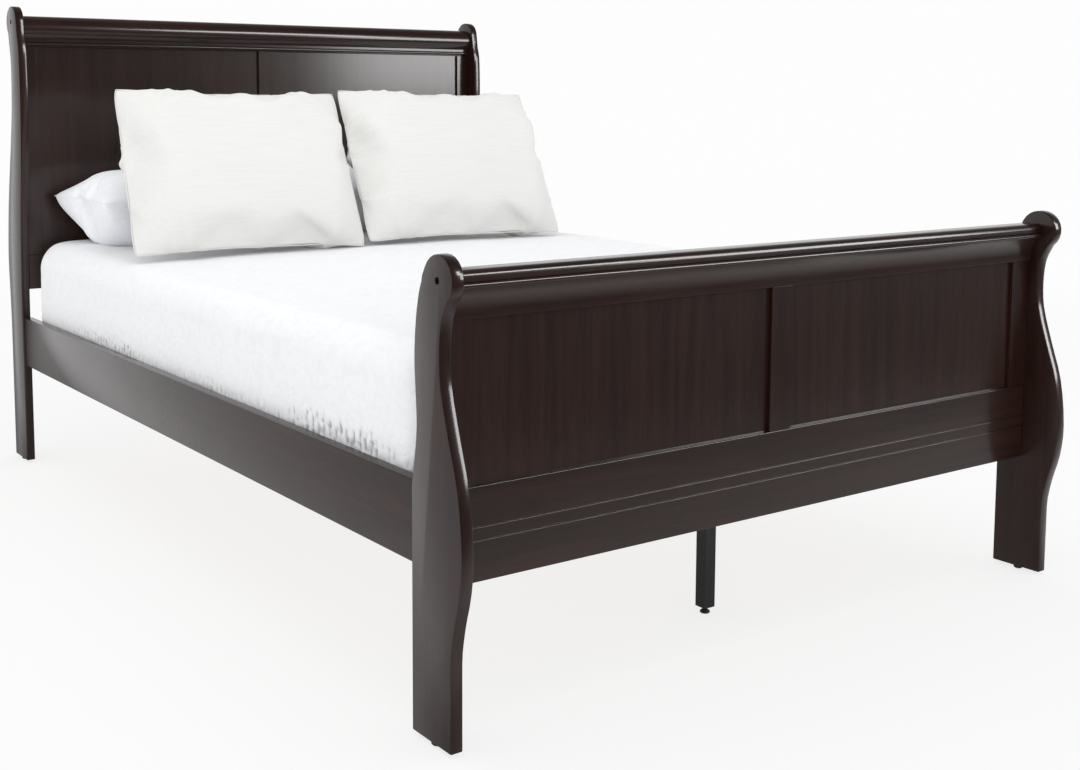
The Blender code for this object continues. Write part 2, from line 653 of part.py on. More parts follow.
def crest_outline(crest_z, slot_top):
    """Round crest, flat below, with a slot that sits over the top rail."""
    face, back = frame_planes(HEAD_Y, 1, -1)
    centre = (HEAD_Y + CREST_REACH, crest_z)
    low = crest_z - CREST_RADIUS
    chord = CREST_FLAT * CREST_RADIUS
    sweep_start = -math.degrees(math.acos(CREST_FLAT))
    rim = arc(centre, CREST_RADIUS, sweep_start, 180 - sweep_start, 22)
    return ([(centre[0] + chord, low)] + rim + [(centre[0] - chord, low), (face - GAP, low),
            (face - GAP, slot_top + GAP), (back + GAP, slot_top + GAP), (back + GAP, low)])


def head_bead_outline(top):
    """Half-round bead on the headboard's top rail, under the crest."""
    back = HEAD_FACE_Y - GAP
    high = top - GAP
    low = high - HEAD_BEAD_HEIGHT
    radius = HEAD_BEAD_HEIGHT / 2
    centre = (back - (HEAD_BEAD_PROUD - radius), (low + high) / 2)
    return [(back, low), (back, high)] + arc(centre, radius, 90, 270, 8)


# ---- side rails -------------------------------------------------------------
def make_side_rails():
    for side, word in ((-1, "left"), (1, "right")):
        x0, x1 = sorted((side * RAIL_X, side * RAIL_INNER_X))
        rail = board("side_rail_" + word, (x0, FOOT_Y + GAP, RAIL_BOTTOM),
                     (x1, HEAD_Y - GAP, RAIL_TOP), "cherry_lacquer", RAIL_ROUND)
        for edge, outward in ((FOOT_Y, -1), (HEAD_Y, 1)):
            cut_pocket(rail, side * PLATE_X, edge + outward * CUT_OVERRUN,
                       edge - outward * (PLATE_THICKNESS + 2 * GAP),
                       PLATE_WIDTH / 2 + GAP, PLATE_HEIGHT / 2 + GAP)


def make_hook_plates():
    """Plates let into the rails' ends, whose hooks drop into the posts."""
    for side, side_word in ((-1, "left"), (1, "right")):
        for end, edge, outward in (("foot", FOOT_Y, -1), ("head", HEAD_Y, 1)):
            make_hook_plate("%s_rail_hook_%s" % (end, side_word), side * PLATE_X,
                            edge - outward * (PLATE_THICKNESS + GAP), outward)


def make_hook_plate(name, x, y, outward):
    bm = bmesh.new()
    y0, y1 = sorted((y, y + outward * PLATE_THICKNESS))
    add_box(bm, (x - PLATE_WIDTH / 2, y0, PLATE_Z - PLATE_HEIGHT / 2),
            (x + PLATE_WIDTH / 2, y1, PLATE_Z + PLATE_HEIGHT / 2))
    plate = place(name, bm, "zinc_steel")
    for middle in (-HOOK_OFFSET, HOOK_OFFSET):
        bm = bmesh.new()
        outline = [(y + outward * out, PLATE_Z + middle + up) for out, up in hook_outline()]
        prism(bm, outline, x - HOOK_THICKNESS / 2, x + HOOK_THICKNESS / 2, "x")
        join(plate, bm)


def hook_outline():
    """Side view of one down-turned hook, as distance out of the rail and height."""
    low, high = -HOOK_HEIGHT / 2, HOOK_HEIGHT / 2
    root = PLATE_THICKNESS / 2
    throat = PLATE_THICKNESS + HOOK_REACH / 2
    tip = PLATE_THICKNESS + HOOK_REACH
    return [(root, low + HOOK_DROP), (throat, low + HOOK_DROP), (throat, low),
            (tip, low), (tip, high - HOOK_DROP), (tip - HOOK_DROP, high), (root, high)]


# ---- slats and their beam ---------------------------------------------------
def slat_stations():
    first = FOOT_Y + SLAT_END_MARGIN
    pitch = (RAIL_LENGTH - 2 * SLAT_END_MARGIN) / (SLAT_COUNT - 1)
    return [first + k * pitch for k in range(SLAT_COUNT)]


def make_cleats():
    """Ledger strips on the inside of the rails, under the slats' ends."""
    for side, word in ((-1, "left"), (1, "right")):
        outer = side * (RAIL_INNER_X - GAP)
        x0, x1 = sorted((outer, outer - side * CLEAT_WIDTH))
        board("cleat_" + word, (x0, FOOT_Y + CLEAT_END_GAP, RAIL_BOTTOM + CLEAT_LIFT),
              (x1, HEAD_Y - CLEAT_END_GAP, CLEAT_TOP), "pine")


def make_slats():
    half = RAIL_INNER_X - SLAT_END_GAP
    for number, y in enumerate(slat_stations(), 1):
        board("slat_%d" % number, (-half, y - SLAT_WIDTH / 2, SLAT_BOTTOM),
              (half, y + SLAT_WIDTH / 2, SLAT_TOP), "pine", SLAT_ROUND)


def make_beam():
    """Timber beam under the middles of the slats."""
    board("centre_beam", (-BEAM_WIDTH / 2, FOOT_Y + BEAM_END_GAP, BEAM_BOTTOM),
          (BEAM_WIDTH / 2, HEAD_Y - BEAM_END_GAP, BEAM_TOP), "pine", SLAT_ROUND)


# ---- middle legs ------------------------------------------------------------
def make_middle_legs():
    """Steel legs under the beam, each with a levelling foot."""
    pitch = (RAIL_LENGTH - 2 * LEG_END_DISTANCE) / (LEG_COUNT - 1)
    for k in range(LEG_COUNT):
        y = FOOT_Y + LEG_END_DISTANCE + k * pitch
        make_centre_leg("centre_leg_%d" % (k + 1), y)
        make_leveller("leveller_%d" % (k + 1), y)


def make_centre_leg(name, y):
    """A plate, a square tube and its threaded end, welded into one hollow piece."""
    plate_x, plate_y = LEG_PLATE_SIZE[0] / 2, LEG_PLATE_SIZE[1] / 2
    plate_bottom = LEG_TOP - LEG_PLATE_THICKNESS
    outer = TUBE_SIZE / 2
    inner = outer - TUBE_WALL
    hole = STEM_RADIUS + BORE_GAP
    low = TUBE_CLEARANCE
    inside_low = low + LEG_FOOT_THICKNESS
    rings = [square_ring(plate_x, plate_y, y, LEG_TOP), square_ring(plate_x, plate_y, y, plate_bottom),
             square_ring(outer, outer, y, plate_bottom), square_ring(outer, outer, y, low),
             round_ring(hole, y, low), round_ring(hole, y, inside_low),
             square_ring(inner, inner, y, inside_low), square_ring(inner, inner, y, plate_bottom)]
    bm = bmesh.new()
    skin(bm, rings)
    place(name, bm, "black_steel")


def square_ring(half_x, half_y, y, z):
    """Eight points round a rectangle: its corners and the middles of its edges."""
    steps = ((1, 0), (1, 1), (0, 1), (-1, 1), (-1, 0), (-1, -1), (0, -1), (1, -1))
    return [(a * half_x, y + b * half_y, z) for a, b in steps]


def round_ring(radius, y, z):
    """Eight points round a circle that clears a round stem of that radius."""
    reach = radius / math.cos(math.radians(22.5))
    return [(reach * math.cos(math.radians(45 * k)), y + reach * math.sin(math.radians(45 * k)), z)
            for k in range(8)]


def make_leveller(name, y):
    """Screw-in foot: a domed pad on a stem, with its origin on the stem's axis."""
    bm = bmesh.new()
    radius = PAD_RADIUS
    stem_top = TUBE_CLEARANCE + STEM_LENGTH
    profile = [(0.0, 0.0), (0.86 * radius, 0.0), (radius, 0.0015), (radius, 0.0032),
               (0.82 * radius, 0.0052), (0.45 * radius, PAD_HEIGHT), (STEM_RADIUS, PAD_HEIGHT),
               (STEM_RADIUS, stem_top), (0.0, stem_top)]
    turned(bm, profile, 14, (0.0, 0.0, 0.0))
    foot = place(name, bm, "black_plastic")
    foot.location = (0.0, y, 0.0)
    smooth_shade(foot)


# ---- bedding ----------------------------------------------------------------
def rounded_ring(half_x, y0, y1, corner, inset, z):
    """A rounded rectangle, drawn in by inset, at height z."""
    radius = max(corner - inset, 0.004)
    left, right = -half_x + inset, half_x - inset
    low, high = y0 + inset, y1 - inset
    ring = []
    for cx, cy, start in ((right - radius, low + radius, -90), (right - radius, high - radius, 0),
                          (left + radius, high - radius, 90), (left + radius, low + radius, 180)):
        ring += [(a, b, z) for a, b in arc((cx, cy), radius, start, start + 90, 4)]
    return ring


def cushion_rings(half_x, y0, y1, corner, edge, low, high, round_below=True):
    """Rings up a soft slab whose top edges, and lower edges where asked, are rounded."""
    rings = []
    if round_below:
        for angle in (0, 45):
            turn = math.radians(angle)
            rings.append(rounded_ring(half_x, y0, y1, corner, edge * (1 - math.sin(turn)),
                                      low + edge * (1 - math.cos(turn))))
        rings.append(rounded_ring(half_x, y0, y1, corner, 0.0, low + edge))
    else:
        rings.append(rounded_ring(half_x, y0, y1, corner, 0.0, low))
    rings.append(rounded_ring(half_x, y0, y1, corner, 0.0, high - edge))
    for angle in (45, 90):
        turn = math.radians(angle)
        rings.append(rounded_ring(half_x, y0, y1, corner, edge * (1 - math.cos(turn)),
                                  high - edge * (1 - math.sin(turn))))
    return rings


def make_mattress():
    bm = bmesh.new()
    skin(bm, cushion_rings(MATTRESS_X, MATTRESS_Y0, MATTRESS_Y1, MATTRESS_CORNER,
                           MATTRESS_EDGE, MATTRESS_BOTTOM, MATTRESS_TOP))
    smooth_shade(place("mattress", bm, "mattress_cloth"), 60)


def make_quilt():
    """Quilt over the top and sides of the mattress, tucked beside the rails."""
    low = MATTRESS_TOP - QUILT_DROP
    y0, y1 = MATTRESS_Y0, MATTRESS_Y1
    outer = QUILT_SIDE + GAP
    inner = GAP
    outside = cushion_rings(MATTRESS_X + outer, y0 - outer, y1 + outer, MATTRESS_CORNER + outer,
                            MATTRESS_EDGE + outer, low, QUILT_SURFACE, False)
    inside = cushion_rings(MATTRESS_X + inner, y0 - inner, y1 + inner, MATTRESS_CORNER + inner,
                           MATTRESS_EDGE + inner, low, MATTRESS_TOP + inner, False)
    bm = bmesh.new()
    over = skin(bm, outside, cap_first=False)
    under = skin(bm, inside, cap_first=False)
    count = len(over[0])
    for k in range(count):
        n = (k + 1) % count
        bm.faces.new((over[0][k], over[0][n], under[0][n], under[0][k]))
    smooth_shade(place("quilt", bm, "quilt_cloth"), 60)


def make_pillow(name, size, matrix, kind, end_rise=0.0):
    """A stuffed pillow: a full middle that thins to a square edge."""
    half_x, half_y, half_z = size[0] / 2, size[1] / 2, size[2] / 2
    bulge, corner = PILLOW_POWERS
    rings = []
    for level in (-1.0, -0.88, -0.5, 0.0, 0.5, 0.88, 1.0):
        spread = (1 - abs(level) ** bulge) ** 0.5 if abs(level) < 1 else 0.0
        reach = PILLOW_FACE_SHARE + (1 - PILLOW_FACE_SHARE) * spread
        ring = []
        for k in range(20):
            angle = 2 * math.pi * k / 20
            c, s = math.cos(angle), math.sin(angle)
            a = reach * math.copysign(abs(c) ** corner, c)
            b = reach * math.copysign(abs(s) ** corner, s)
            z = level * half_z + end_rise * (1 - abs(level)) * a * a
            ring.append(matrix @ Vector((a * half_x, b * half_y, z)))
        rings.append(ring)
    bm = bmesh.new()
    skin(bm, rings)
    smooth_shade(place(name, bm, kind), 60)


def make_pillows():
    """Two pillows lying flat at the head of the bed."""
    width, depth, height = PILLOW_SIZE
    y = HEAD_FACE_Y - PILLOW_HEAD_GAP - depth / 2
    z = QUILT_SURFACE + GAP + height / 2
    for side, word in ((-1, "left"), (1, "right")):
        x = side * (width + PAIR_GAP) / 2
        make_pillow("pillow_" + word, PILLOW_SIZE, Matrix.Translation((x, y, z)), "pillow_cotton",
                    PILLOW_END_RISE)


def make_shams():
    """Two shams leaning back on the pillows; each is slumped, rolled and stood up, in that order."""
    width, height, _ = SHAM_SIZE
    up = Vector((0, math.sin(SHAM_LEAN), math.cos(SHAM_LEAN)))
    slump = Matrix(((1, SHAM_SLUMP, 0, 0), (0, 1, 0, 0), (0, 0, 1, 0), (0, 0, 0, 1)))
    for side, word in ((-1, "left"), (1, "right")):
        foot_x = side * (width / math.cos(SHAM_ROLL) + PAIR_GAP) / 2 - SHAM_OFFSET
        foot = Vector((foot_x, HEAD_FACE_Y - SHAM_FOOT, QUILT_SURFACE + sham_rise()))
        turn = Matrix.Rotation(math.pi / 2 - SHAM_LEAN, 4, "X") @ Matrix.Rotation(SHAM_ROLL, 4, "Z")
        foot.x += SHAM_SLUMP * height / 2
        matrix = Matrix.Translation(foot + up * height / 2) @ turn @ slump
        make_pillow("sham_" + word, SHAM_SIZE, matrix, "sham_cloth")


def sham_rise():
    """How far the middle of a sham's lower edge stands above the quilt."""
    corner = abs(math.sin(SHAM_ROLL)) * SHAM_SIZE[0] / 2 * math.cos(SHAM_LEAN)
    return corner + SHAM_FLOAT


def build():
    clear_scene()
    make_posts()
    make_post_glides()
    make_footboard()
    make_headboard()
    make_side_rails()
    make_hook_plates()
    make_cleats()
    make_slats()
    make_beam()
    make_middle_legs()
    make_mattress()
    make_quilt()
    make_pillows()
    make_shams()


build()
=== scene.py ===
import math

import bmesh
import bpy
import numpy as np
from mathutils import Matrix, Vector, noise


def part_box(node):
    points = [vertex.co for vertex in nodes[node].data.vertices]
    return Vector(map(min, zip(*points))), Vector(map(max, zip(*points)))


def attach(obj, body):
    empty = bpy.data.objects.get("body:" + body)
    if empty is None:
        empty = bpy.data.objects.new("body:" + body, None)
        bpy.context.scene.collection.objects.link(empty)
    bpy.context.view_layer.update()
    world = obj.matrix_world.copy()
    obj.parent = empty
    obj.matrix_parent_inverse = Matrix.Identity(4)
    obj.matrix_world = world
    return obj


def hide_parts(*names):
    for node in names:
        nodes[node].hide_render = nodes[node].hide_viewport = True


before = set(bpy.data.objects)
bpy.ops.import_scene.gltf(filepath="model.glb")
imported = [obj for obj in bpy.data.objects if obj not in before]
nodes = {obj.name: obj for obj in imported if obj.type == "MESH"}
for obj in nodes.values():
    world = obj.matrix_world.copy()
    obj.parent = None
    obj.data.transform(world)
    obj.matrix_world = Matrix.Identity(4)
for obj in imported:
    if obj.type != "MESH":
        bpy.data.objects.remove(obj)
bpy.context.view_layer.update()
scene = bpy.context.scene
scene.view_settings.view_transform = "Standard"


def smoothRamp(low, high, value):
    t = min(1.0, max(0.0, (value - low) / (high - low)))
    return t * t * (3.0 - 2.0 * t)


def addObject(name, bm, materials, smooth=True):
    mesh = bpy.data.meshes.new(name)
    bm.normal_update()
    bm.to_mesh(mesh)
    bm.free()
    for material in materials:
        mesh.materials.append(material)
    for face in mesh.polygons:
        face.use_smooth = smooth
    piece = bpy.data.objects.new(name, mesh)
    scene.collection.objects.link(piece)
    return piece


def skinRings(bm, rings, closeEnds=True, loopRings=False):
    made = [[bm.verts.new(spot) for spot in ring] for ring in rings]
    pairs = list(zip(made, made[1:])) + ([(made[-1], made[0])] if loopRings else [])
    for ring, following in pairs:
        for k in range(len(ring)):
            n = (k + 1) % len(ring)
            bm.faces.new((ring[k], ring[n], following[n], following[k]))
    if closeEnds and not loopRings:
        bm.faces.new(made[0][::-1])
        bm.faces.new(made[-1])
    return made


def addTube(bm, path, radius, sides=8, closed=True):
    rings = []
    count = len(path)
    up = Vector((0.0, 0.0, 1.0))
    for k in range(count):
        before = path[k - 1] if closed or k else path[0]
        after = path[(k + 1) % count] if closed or k < count - 1 else path[-1]
        along = (after - before).normalized()
        side = along.cross(up)
        side = side.normalized() if side.length > 0.05 else along.orthogonal().normalized()
        lift = side.cross(along)
        ring = []
        for s in range(sides):
            turn = 2.0 * math.pi * s / sides
            ring.append(path[k] + radius * (side * math.cos(turn) + lift * math.sin(turn)))
        rings.append(ring)
    skinRings(bm, rings, closeEnds=not closed, loopRings=closed)


cameraSetup = {
    "place": (-1.7887, -2.6345, 0.9395),
    "yaw": 33.272,      # degrees towards +X from straight along the bed
    "tilt": 5.889,      # degrees below level
    "roll": -0.151,
    "lens": 45.888,
    "shift": (0.098, -0.125),
}


def makeCamera(setup):
    yaw, tilt, roll = (math.radians(setup[k]) for k in ("yaw", "tilt", "roll"))
    ahead = Vector((math.sin(yaw) * math.cos(tilt), math.cos(yaw) * math.cos(tilt), -math.sin(tilt)))
    right = Vector((math.cos(yaw), -math.sin(yaw), 0.0))
    up = right.cross(ahead)
    rolledRight = right * math.cos(roll) + up * math.sin(roll)
    rolledUp = up * math.cos(roll) - right * math.sin(roll)
    data = bpy.data.cameras.new("bedCamera")
    data.lens, data.sensor_width = setup["lens"], 36.0
    data.shift_x, data.shift_y = setup["shift"]
    data.clip_start, data.clip_end = 0.05, 200.0
    camera = bpy.data.objects.new("bedCamera", data)
    turn = Matrix((rolledRight, rolledUp, -ahead)).transposed().to_4x4()
    camera.matrix_world = Matrix.Translation(setup["place"]) @ turn
    scene.collection.objects.link(camera)
    scene.camera = camera


def put(tree, kind, inputs=None, **settings):
    made = tree.nodes.new("ShaderNode" + kind)
    for name, value in settings.items():
        setattr(made, name, value)
    for name, value in (inputs or {}).items():
        if isinstance(value, bpy.types.NodeSocket):
            tree.links.new(value, made.inputs[name])
        else:
            made.inputs[name].default_value = value
    return made


def sumUp(tree, how, first, second=0.5):
    return put(tree, "Math", {0: first, 1: second}, operation=how).outputs[0]


def mixColours(tree, share, first, second, how="MIX"):
    made = put(tree, "Mix", {0: share, 6: first, 7: second}, data_type="RGBA", blend_type=how)
    return made.outputs[2]


def mapRange(tree, value, low, high, toLow=0.0, toHigh=1.0):
    return put(tree, "MapRange", {0: value, 1: low, 2: high, 3: toLow, 4: toHigh},
               interpolation_type="SMOOTHSTEP").outputs[0]


studio = {
    "backdrop": 0.985,          # seen behind the bed
    "fill": 0.94,               # even light from all round
    "glossBehind": 0.95,        # what the lacquer mirrors from behind the bed
    "glossAbove": 0.20,         # from high up
    "glossAhead": 0.05,         # from the open front of the studio
    "glossFloor": 0.88,         # painted reflection tone of the floor
    "paintedBedShade": 0.28,           # painted shade under the bed, in the floor's painted reflection
    "softboxes": [
        # name, place, aimed at, width, height, watts, what it lights
        ("overheadSoftbox", (-0.6, -0.4, 3.4), (0.0, 0.0, 0.5), 3.0, 3.0, 22.0, "cloth"),
        ("frontSoftbox", (-1.8, -6.0, 1.1), (0.0, 0.4, 0.6), 5.0, 2.0, 85.0, "cloth"),
        ("crestSoftbox", (3.3, -5.3, 3.6), (0.1, 0.95, 1.15), 1.8, 1.5, 125.0, "gloss"),
        ("rightSoftbox", (5.05, -5.3, 2.2), (0.3, 1.9, 1.0), 2.2, 2.4, 190.0, "gloss"),
    ],
    "floorTone": 0.88,
    "floorGlow": 0.78,          # how far shadows on the floor are lifted
    "floorFade": (2.6, 6.5),    # metres out from the bed where the floor turns to backdrop
}


def makeWorld(setup):
    world = bpy.data.worlds.new("studioAir")
    world.use_nodes = True
    tree = world.node_tree
    tree.nodes.clear()
    ways = put(tree, "SeparateXYZ", {0: put(tree, "TexCoord").outputs["Generated"]})
    path = put(tree, "LightPath")
    above = mapRange(tree, ways.outputs[2], 0.30, 0.75, setup["glossBehind"], setup["glossAbove"])
    mirrored = mapRange(tree, ways.outputs[1], -0.25, 0.35, setup["glossAhead"], above)
    tone = put(tree, "Mix", {0: path.outputs["Is Glossy Ray"], 2: setup["fill"], 3: mirrored}).outputs[0]
    tone = put(tree, "Mix", {0: path.outputs["Is Camera Ray"], 2: tone, 3: setup["backdrop"]}).outputs[0]
    light = put(tree, "Background", {"Color": (1.0, 1.0, 1.0, 1.0), "Strength": tone})
    out = put(tree, "OutputWorld")
    tree.links.new(light.outputs[0], out.inputs[0])
    scene.world = world


def makeSoftboxes(setup):
    for name, place, aim, width, height, watts, lights in setup["softboxes"]:
        data = bpy.data.lights.new(name, "AREA")
        data.shape, data.size, data.size_y, data.energy = "RECTANGLE", width, height, watts
        lamp = bpy.data.objects.new(name, data)
        lamp.location = place
        lamp.rotation_mode = "QUATERNION"
        lamp.rotation_quaternion = (Vector(aim) - Vector(place)).to_track_quat("-Z", "Y")
        lamp.visible_camera = False
        lamp.visible_diffuse, lamp.visible_glossy = lights == "cloth", lights == "gloss"
        scene.collection.objects.link(lamp)


def makeFloor(setup):
    material = bpy.data.materials.new("floorPale")
    material.use_nodes = True
    tree = material.node_tree
    tree.nodes.clear()
    place = put(tree, "NewGeometry").outputs["Position"]
    ways = put(tree, "SeparateXYZ", {0: place})
    away = put(tree, "VectorMath", {0: place}, operation="LENGTH").outputs["Value"]
    fade = mapRange(tree, away, *setup["floorFade"])
    tone = setup["floorTone"]
    cloud = put(tree, "TexNoise", {"Vector": place, "Scale": 0.8, "Detail": 3.0}).outputs["Fac"]
    pale = mixColours(tree, cloud, (tone, tone, tone, 1), (tone + 0.02, tone + 0.02, tone + 0.02, 1))
    matt = put(tree, "BsdfDiffuse", {"Color": pale})
    far = put(tree, "Emission", {"Color": (1, 1, 1, 1), "Strength": setup["backdrop"]})
    lifted = mapRange(tree, fade, 0.0, 1.0, setup["floorGlow"], 1.0)
    seen = put(tree, "MixShader", {0: lifted, 1: matt.outputs[0], 2: far.outputs[0]})
    # glossy rays see a painted reflection instead of the floor: an emission, dark towards the open front,
    # with painted shade where the bed stands
    sideways = mapRange(tree, sumUp(tree, "ABSOLUTE", ways.outputs[0]), 0.60, 1.00)
    inFront = mapRange(tree, ways.outputs[1], -1.40, -1.00, 1.0, 0.0)
    clear = mapRange(tree, sumUp(tree, "MAXIMUM", sideways, inFront), 0.0, 1.0,
                     setup["paintedBedShade"], setup["glossFloor"])
    mirrored = mapRange(tree, ways.outputs[1], -2.7, -0.8, setup["glossAhead"], clear)
    gloss = put(tree, "Emission", {"Color": (1, 1, 1, 1), "Strength": mirrored})
    path = put(tree, "LightPath")
    both = put(tree, "MixShader",
               {0: path.outputs["Is Glossy Ray"], 1: seen.outputs[0], 2: gloss.outputs[0]})
    out = put(tree, "OutputMaterial")
    tree.links.new(both.outputs[0], out.inputs[0])
    bm = bmesh.new()
    reach, rings = 60.0, []
    for radius in (0.5, 1.5, 4.0, 12.0, reach):
        rings.append([(radius * math.cos(a), radius * math.sin(a), 0.0)
                      for a in (2.0 * math.pi * k / 64 for k in range(64))])
    made = skinRings(bm, rings, closeEnds=False)
    bm.faces.new(made[0])
    floor = addObject("floor", bm, [material], smooth=False)


makeCamera(cameraSetup)
makeWorld(studio)
makeSoftboxes(studio)
makeFloor(studio)
print("studio: camera, %d softboxes, floor" % len(studio["softboxes"]))


def newEffect(name, inputs, outputs):
    effect = bpy.data.node_groups.new(name, "ShaderNodeTree")
    for label, kind, start in inputs:
        socket = effect.interface.new_socket(name=label, in_out="INPUT", socket_type="NodeSocket" + kind)
        if start is not None:
            socket.default_value = start
    for label, kind in outputs:
        effect.interface.new_socket(name=label, in_out="OUTPUT", socket_type="NodeSocket" + kind)
    return effect, effect.nodes.new("NodeGroupInput").outputs, effect.nodes.new("NodeGroupOutput").inputs


def useEffect(tree, effect, **inputs):
    made = tree.nodes.new("ShaderNodeGroup")
    made.node_tree = effect
    for name, value in inputs.items():
        socket = made.inputs[name]
        if isinstance(value, bpy.types.NodeSocket):
            tree.links.new(value, socket)
        else:
            socket.default_value = value
    return made.outputs


def makeGrainEffect():   # grain runs along the vector's X
    effect, given, result = newEffect(
        "woodGrain",
        [("Vector", "Vector", None), ("Dark", "Color", (0.01, 0.01, 0.01, 1)),
         ("Light", "Color", (0.05, 0.04, 0.04, 1)), ("Figure", "Float", 0.5)],
        [("Color", "Color"), ("Pores", "Float"), ("Streak", "Float")])
    stretched = put(effect, "Mapping",
                    {"Vector": given["Vector"], "Scale": (1.3, 22.0, 22.0)}).outputs[0]
    streak = put(effect, "TexNoise", {"Vector": stretched, "Scale": 1.6, "Detail": 7.0,
                                      "Roughness": 0.62, "Distortion": 0.5}).outputs["Fac"]
    broad = put(effect, "Mapping", {"Vector": given["Vector"], "Scale": (0.7, 4.5, 4.5)}).outputs[0]
    arch = put(effect, "TexNoise", {"Vector": broad, "Scale": 1.2, "Detail": 3.0}).outputs["Fac"]
    both = sumUp(effect, "ADD", sumUp(effect, "MULTIPLY", streak, 0.65),
                 sumUp(effect, "MULTIPLY", arch, 0.35))
    shade = mapRange(effect, both, 0.34, 0.66)
    shade = sumUp(effect, "MULTIPLY", shade, given["Figure"])
    fine = put(effect, "Mapping", {"Vector": given["Vector"], "Scale": (18.0, 520.0, 520.0)}).outputs[0]
    pores = put(effect, "TexNoise", {"Vector": fine, "Scale": 1.0, "Detail": 2.0}).outputs["Fac"]
    pores = mapRange(effect, pores, 0.28, 0.5)
    colour = mixColours(effect, shade, given["Dark"], given["Light"])
    poreTone = mapRange(effect, pores, 0.0, 1.0, 0.72, 1.0)
    colour = mixColours(effect, 1.0, colour, poreTone, "MULTIPLY")
    effect.links.new(colour, result["Color"])
    effect.links.new(pores, result["Pores"])
    effect.links.new(streak, result["Streak"])
    return effect


def makeHandlingEffect():   # faint smudges and rubbed patches, for gloss
    effect, given, result = newEffect(
        "handling", [("Vector", "Vector", None), ("Base", "Float", 0.3), ("Amount", "Float", 0.1)],
        [("Roughness", "Float"), ("Mask", "Float")])
    wide = put(effect, "TexNoise", {"Vector": given["Vector"], "Scale": 5.0, "Detail": 4.0,
                                    "Distortion": 0.8}).outputs["Fac"]
    small = put(effect, "TexNoise",
                {"Vector": given["Vector"], "Scale": 60.0, "Detail": 3.0}).outputs["Fac"]
    both = sumUp(effect, "ADD", sumUp(effect, "MULTIPLY", wide, 0.7),
                 sumUp(effect, "MULTIPLY", small, 0.3))
    mask = mapRange(effect, both, 0.35, 0.7)
    rough = sumUp(effect, "ADD", given["Base"], sumUp(effect, "MULTIPLY", mask, given["Amount"]))
    effect.links.new(rough, result["Roughness"])
    effect.links.new(mask, result["Mask"])
    return effect


def makeWeaveEffect():   # plain weave: threads along X and Y of the vector, with slubs
    effect, given, result = newEffect(
        "threadWeave",
        [("Vector", "Vector", None), ("Threads", "Float", 600.0), ("Slub", "Float", 0.4)],
        [("Height", "Float"), ("Shade", "Float")])
    wobble = put(effect, "TexNoise",
                 {"Vector": given["Vector"], "Scale": 25.0, "Detail": 2.0}).outputs["Color"]
    moved = put(effect, "VectorMath",
                {0: wobble, 1: (0.0006, 0.0006, 0.0006)}, operation="MULTIPLY").outputs[0]
    spot = put(effect, "VectorMath", {0: given["Vector"], 1: moved}, operation="ADD").outputs[0]
    ways = put(effect, "SeparateXYZ", {0: spot})
    phases = [sumUp(effect, "MULTIPLY", ways.outputs[k], given["Threads"]) for k in (0, 1)]
    warp, weft = (sumUp(effect, "ABSOLUTE", sumUp(effect, "SINE", p)) for p in phases)
    crossing = sumUp(effect, "GREATER_THAN", sumUp(effect, "MULTIPLY", *(
        sumUp(effect, "SINE", sumUp(effect, "MULTIPLY", p, 0.5)) for p in phases)), 0.0)
    over = put(effect, "Mix", {0: crossing, 2: warp, 3: weft}).outputs[0]
    drawn = put(effect, "Mapping", {"Vector": given["Vector"], "Scale": (9.0, 190.0, 190.0)}).outputs[0]
    slub = put(effect, "TexNoise", {"Vector": drawn, "Scale": 1.0, "Detail": 2.0}).outputs["Fac"]
    slub = mapRange(effect, slub, 0.42, 0.68)
    height = sumUp(effect, "ADD", sumUp(effect, "MULTIPLY", over, 0.6),
                   sumUp(effect, "MULTIPLY", slub, given["Slub"]))
    effect.links.new(height, result["Height"])
    effect.links.new(slub, result["Shade"])
    return effect


def makeCrinkleEffect():   # puckered cotton: small drawn-in cells between stitched channels, with painted shade in the creases between them
    effect, given, result = newEffect(
        "puckers", [("Vector", "Vector", None), ("Cells", "Float", 60.0)],
        [("Height", "Float"), ("PaintedCreaseShade", "Float")])
    twist = put(effect, "TexNoise",
                {"Vector": given["Vector"], "Scale": 14.0, "Detail": 3.0}).outputs["Color"]
    moved = put(effect, "VectorMath",
                {0: twist, 1: (0.035, 0.035, 0.035)}, operation="MULTIPLY").outputs[0]
    spot = put(effect, "VectorMath", {0: given["Vector"], 1: moved}, operation="ADD").outputs[0]
    cell = put(effect, "TexVoronoi", {"Vector": spot, "Scale": given["Cells"], "Smoothness": 0.35},
               feature="SMOOTH_F1").outputs["Distance"]
    fold = put(effect, "TexNoise",
               {"Vector": spot, "Scale": 95.0, "Detail": 4.0, "Roughness": 0.6}).outputs["Fac"]
    ridge = sumUp(effect, "ABSOLUTE", sumUp(effect, "SUBTRACT", fold, 0.5))
    height = sumUp(effect, "SUBTRACT", sumUp(effect, "MULTIPLY", cell, -0.7),
                   sumUp(effect, "MULTIPLY", ridge, 1.6))
    # painted shade: darker towards the cell edges, where the puckers fold in
    creaseShadeMask = mapRange(effect, cell, 0.45, 0.85)
    effect.links.new(height, result["Height"])
    effect.links.new(creaseShadeMask, result["PaintedCreaseShade"])
    return effect


woodGrain, handling = makeGrainEffect(), makeHandlingEffect()
threadWeave, puckers = makeWeaveEffect(), makeCrinkleEffect()


def startMaterial(name, **fixed):
    material = bpy.data.materials.new(name)
    material.use_nodes = True
    tree = material.node_tree
    shader = tree.nodes["Principled BSDF"]
    for label, value in fixed.items():
        shader.inputs[label.replace("_", " ")].default_value = value
    return material, tree, shader


def objectSpot(tree, turn=(0.0, 0.0, 0.0), shift=(0.0, 0.0, 0.0)):
    spot = put(tree, "TexCoord").outputs["Object"]
    return put(tree, "Mapping", {"Vector": spot, "Rotation": turn, "Location": shift}).outputs[0]


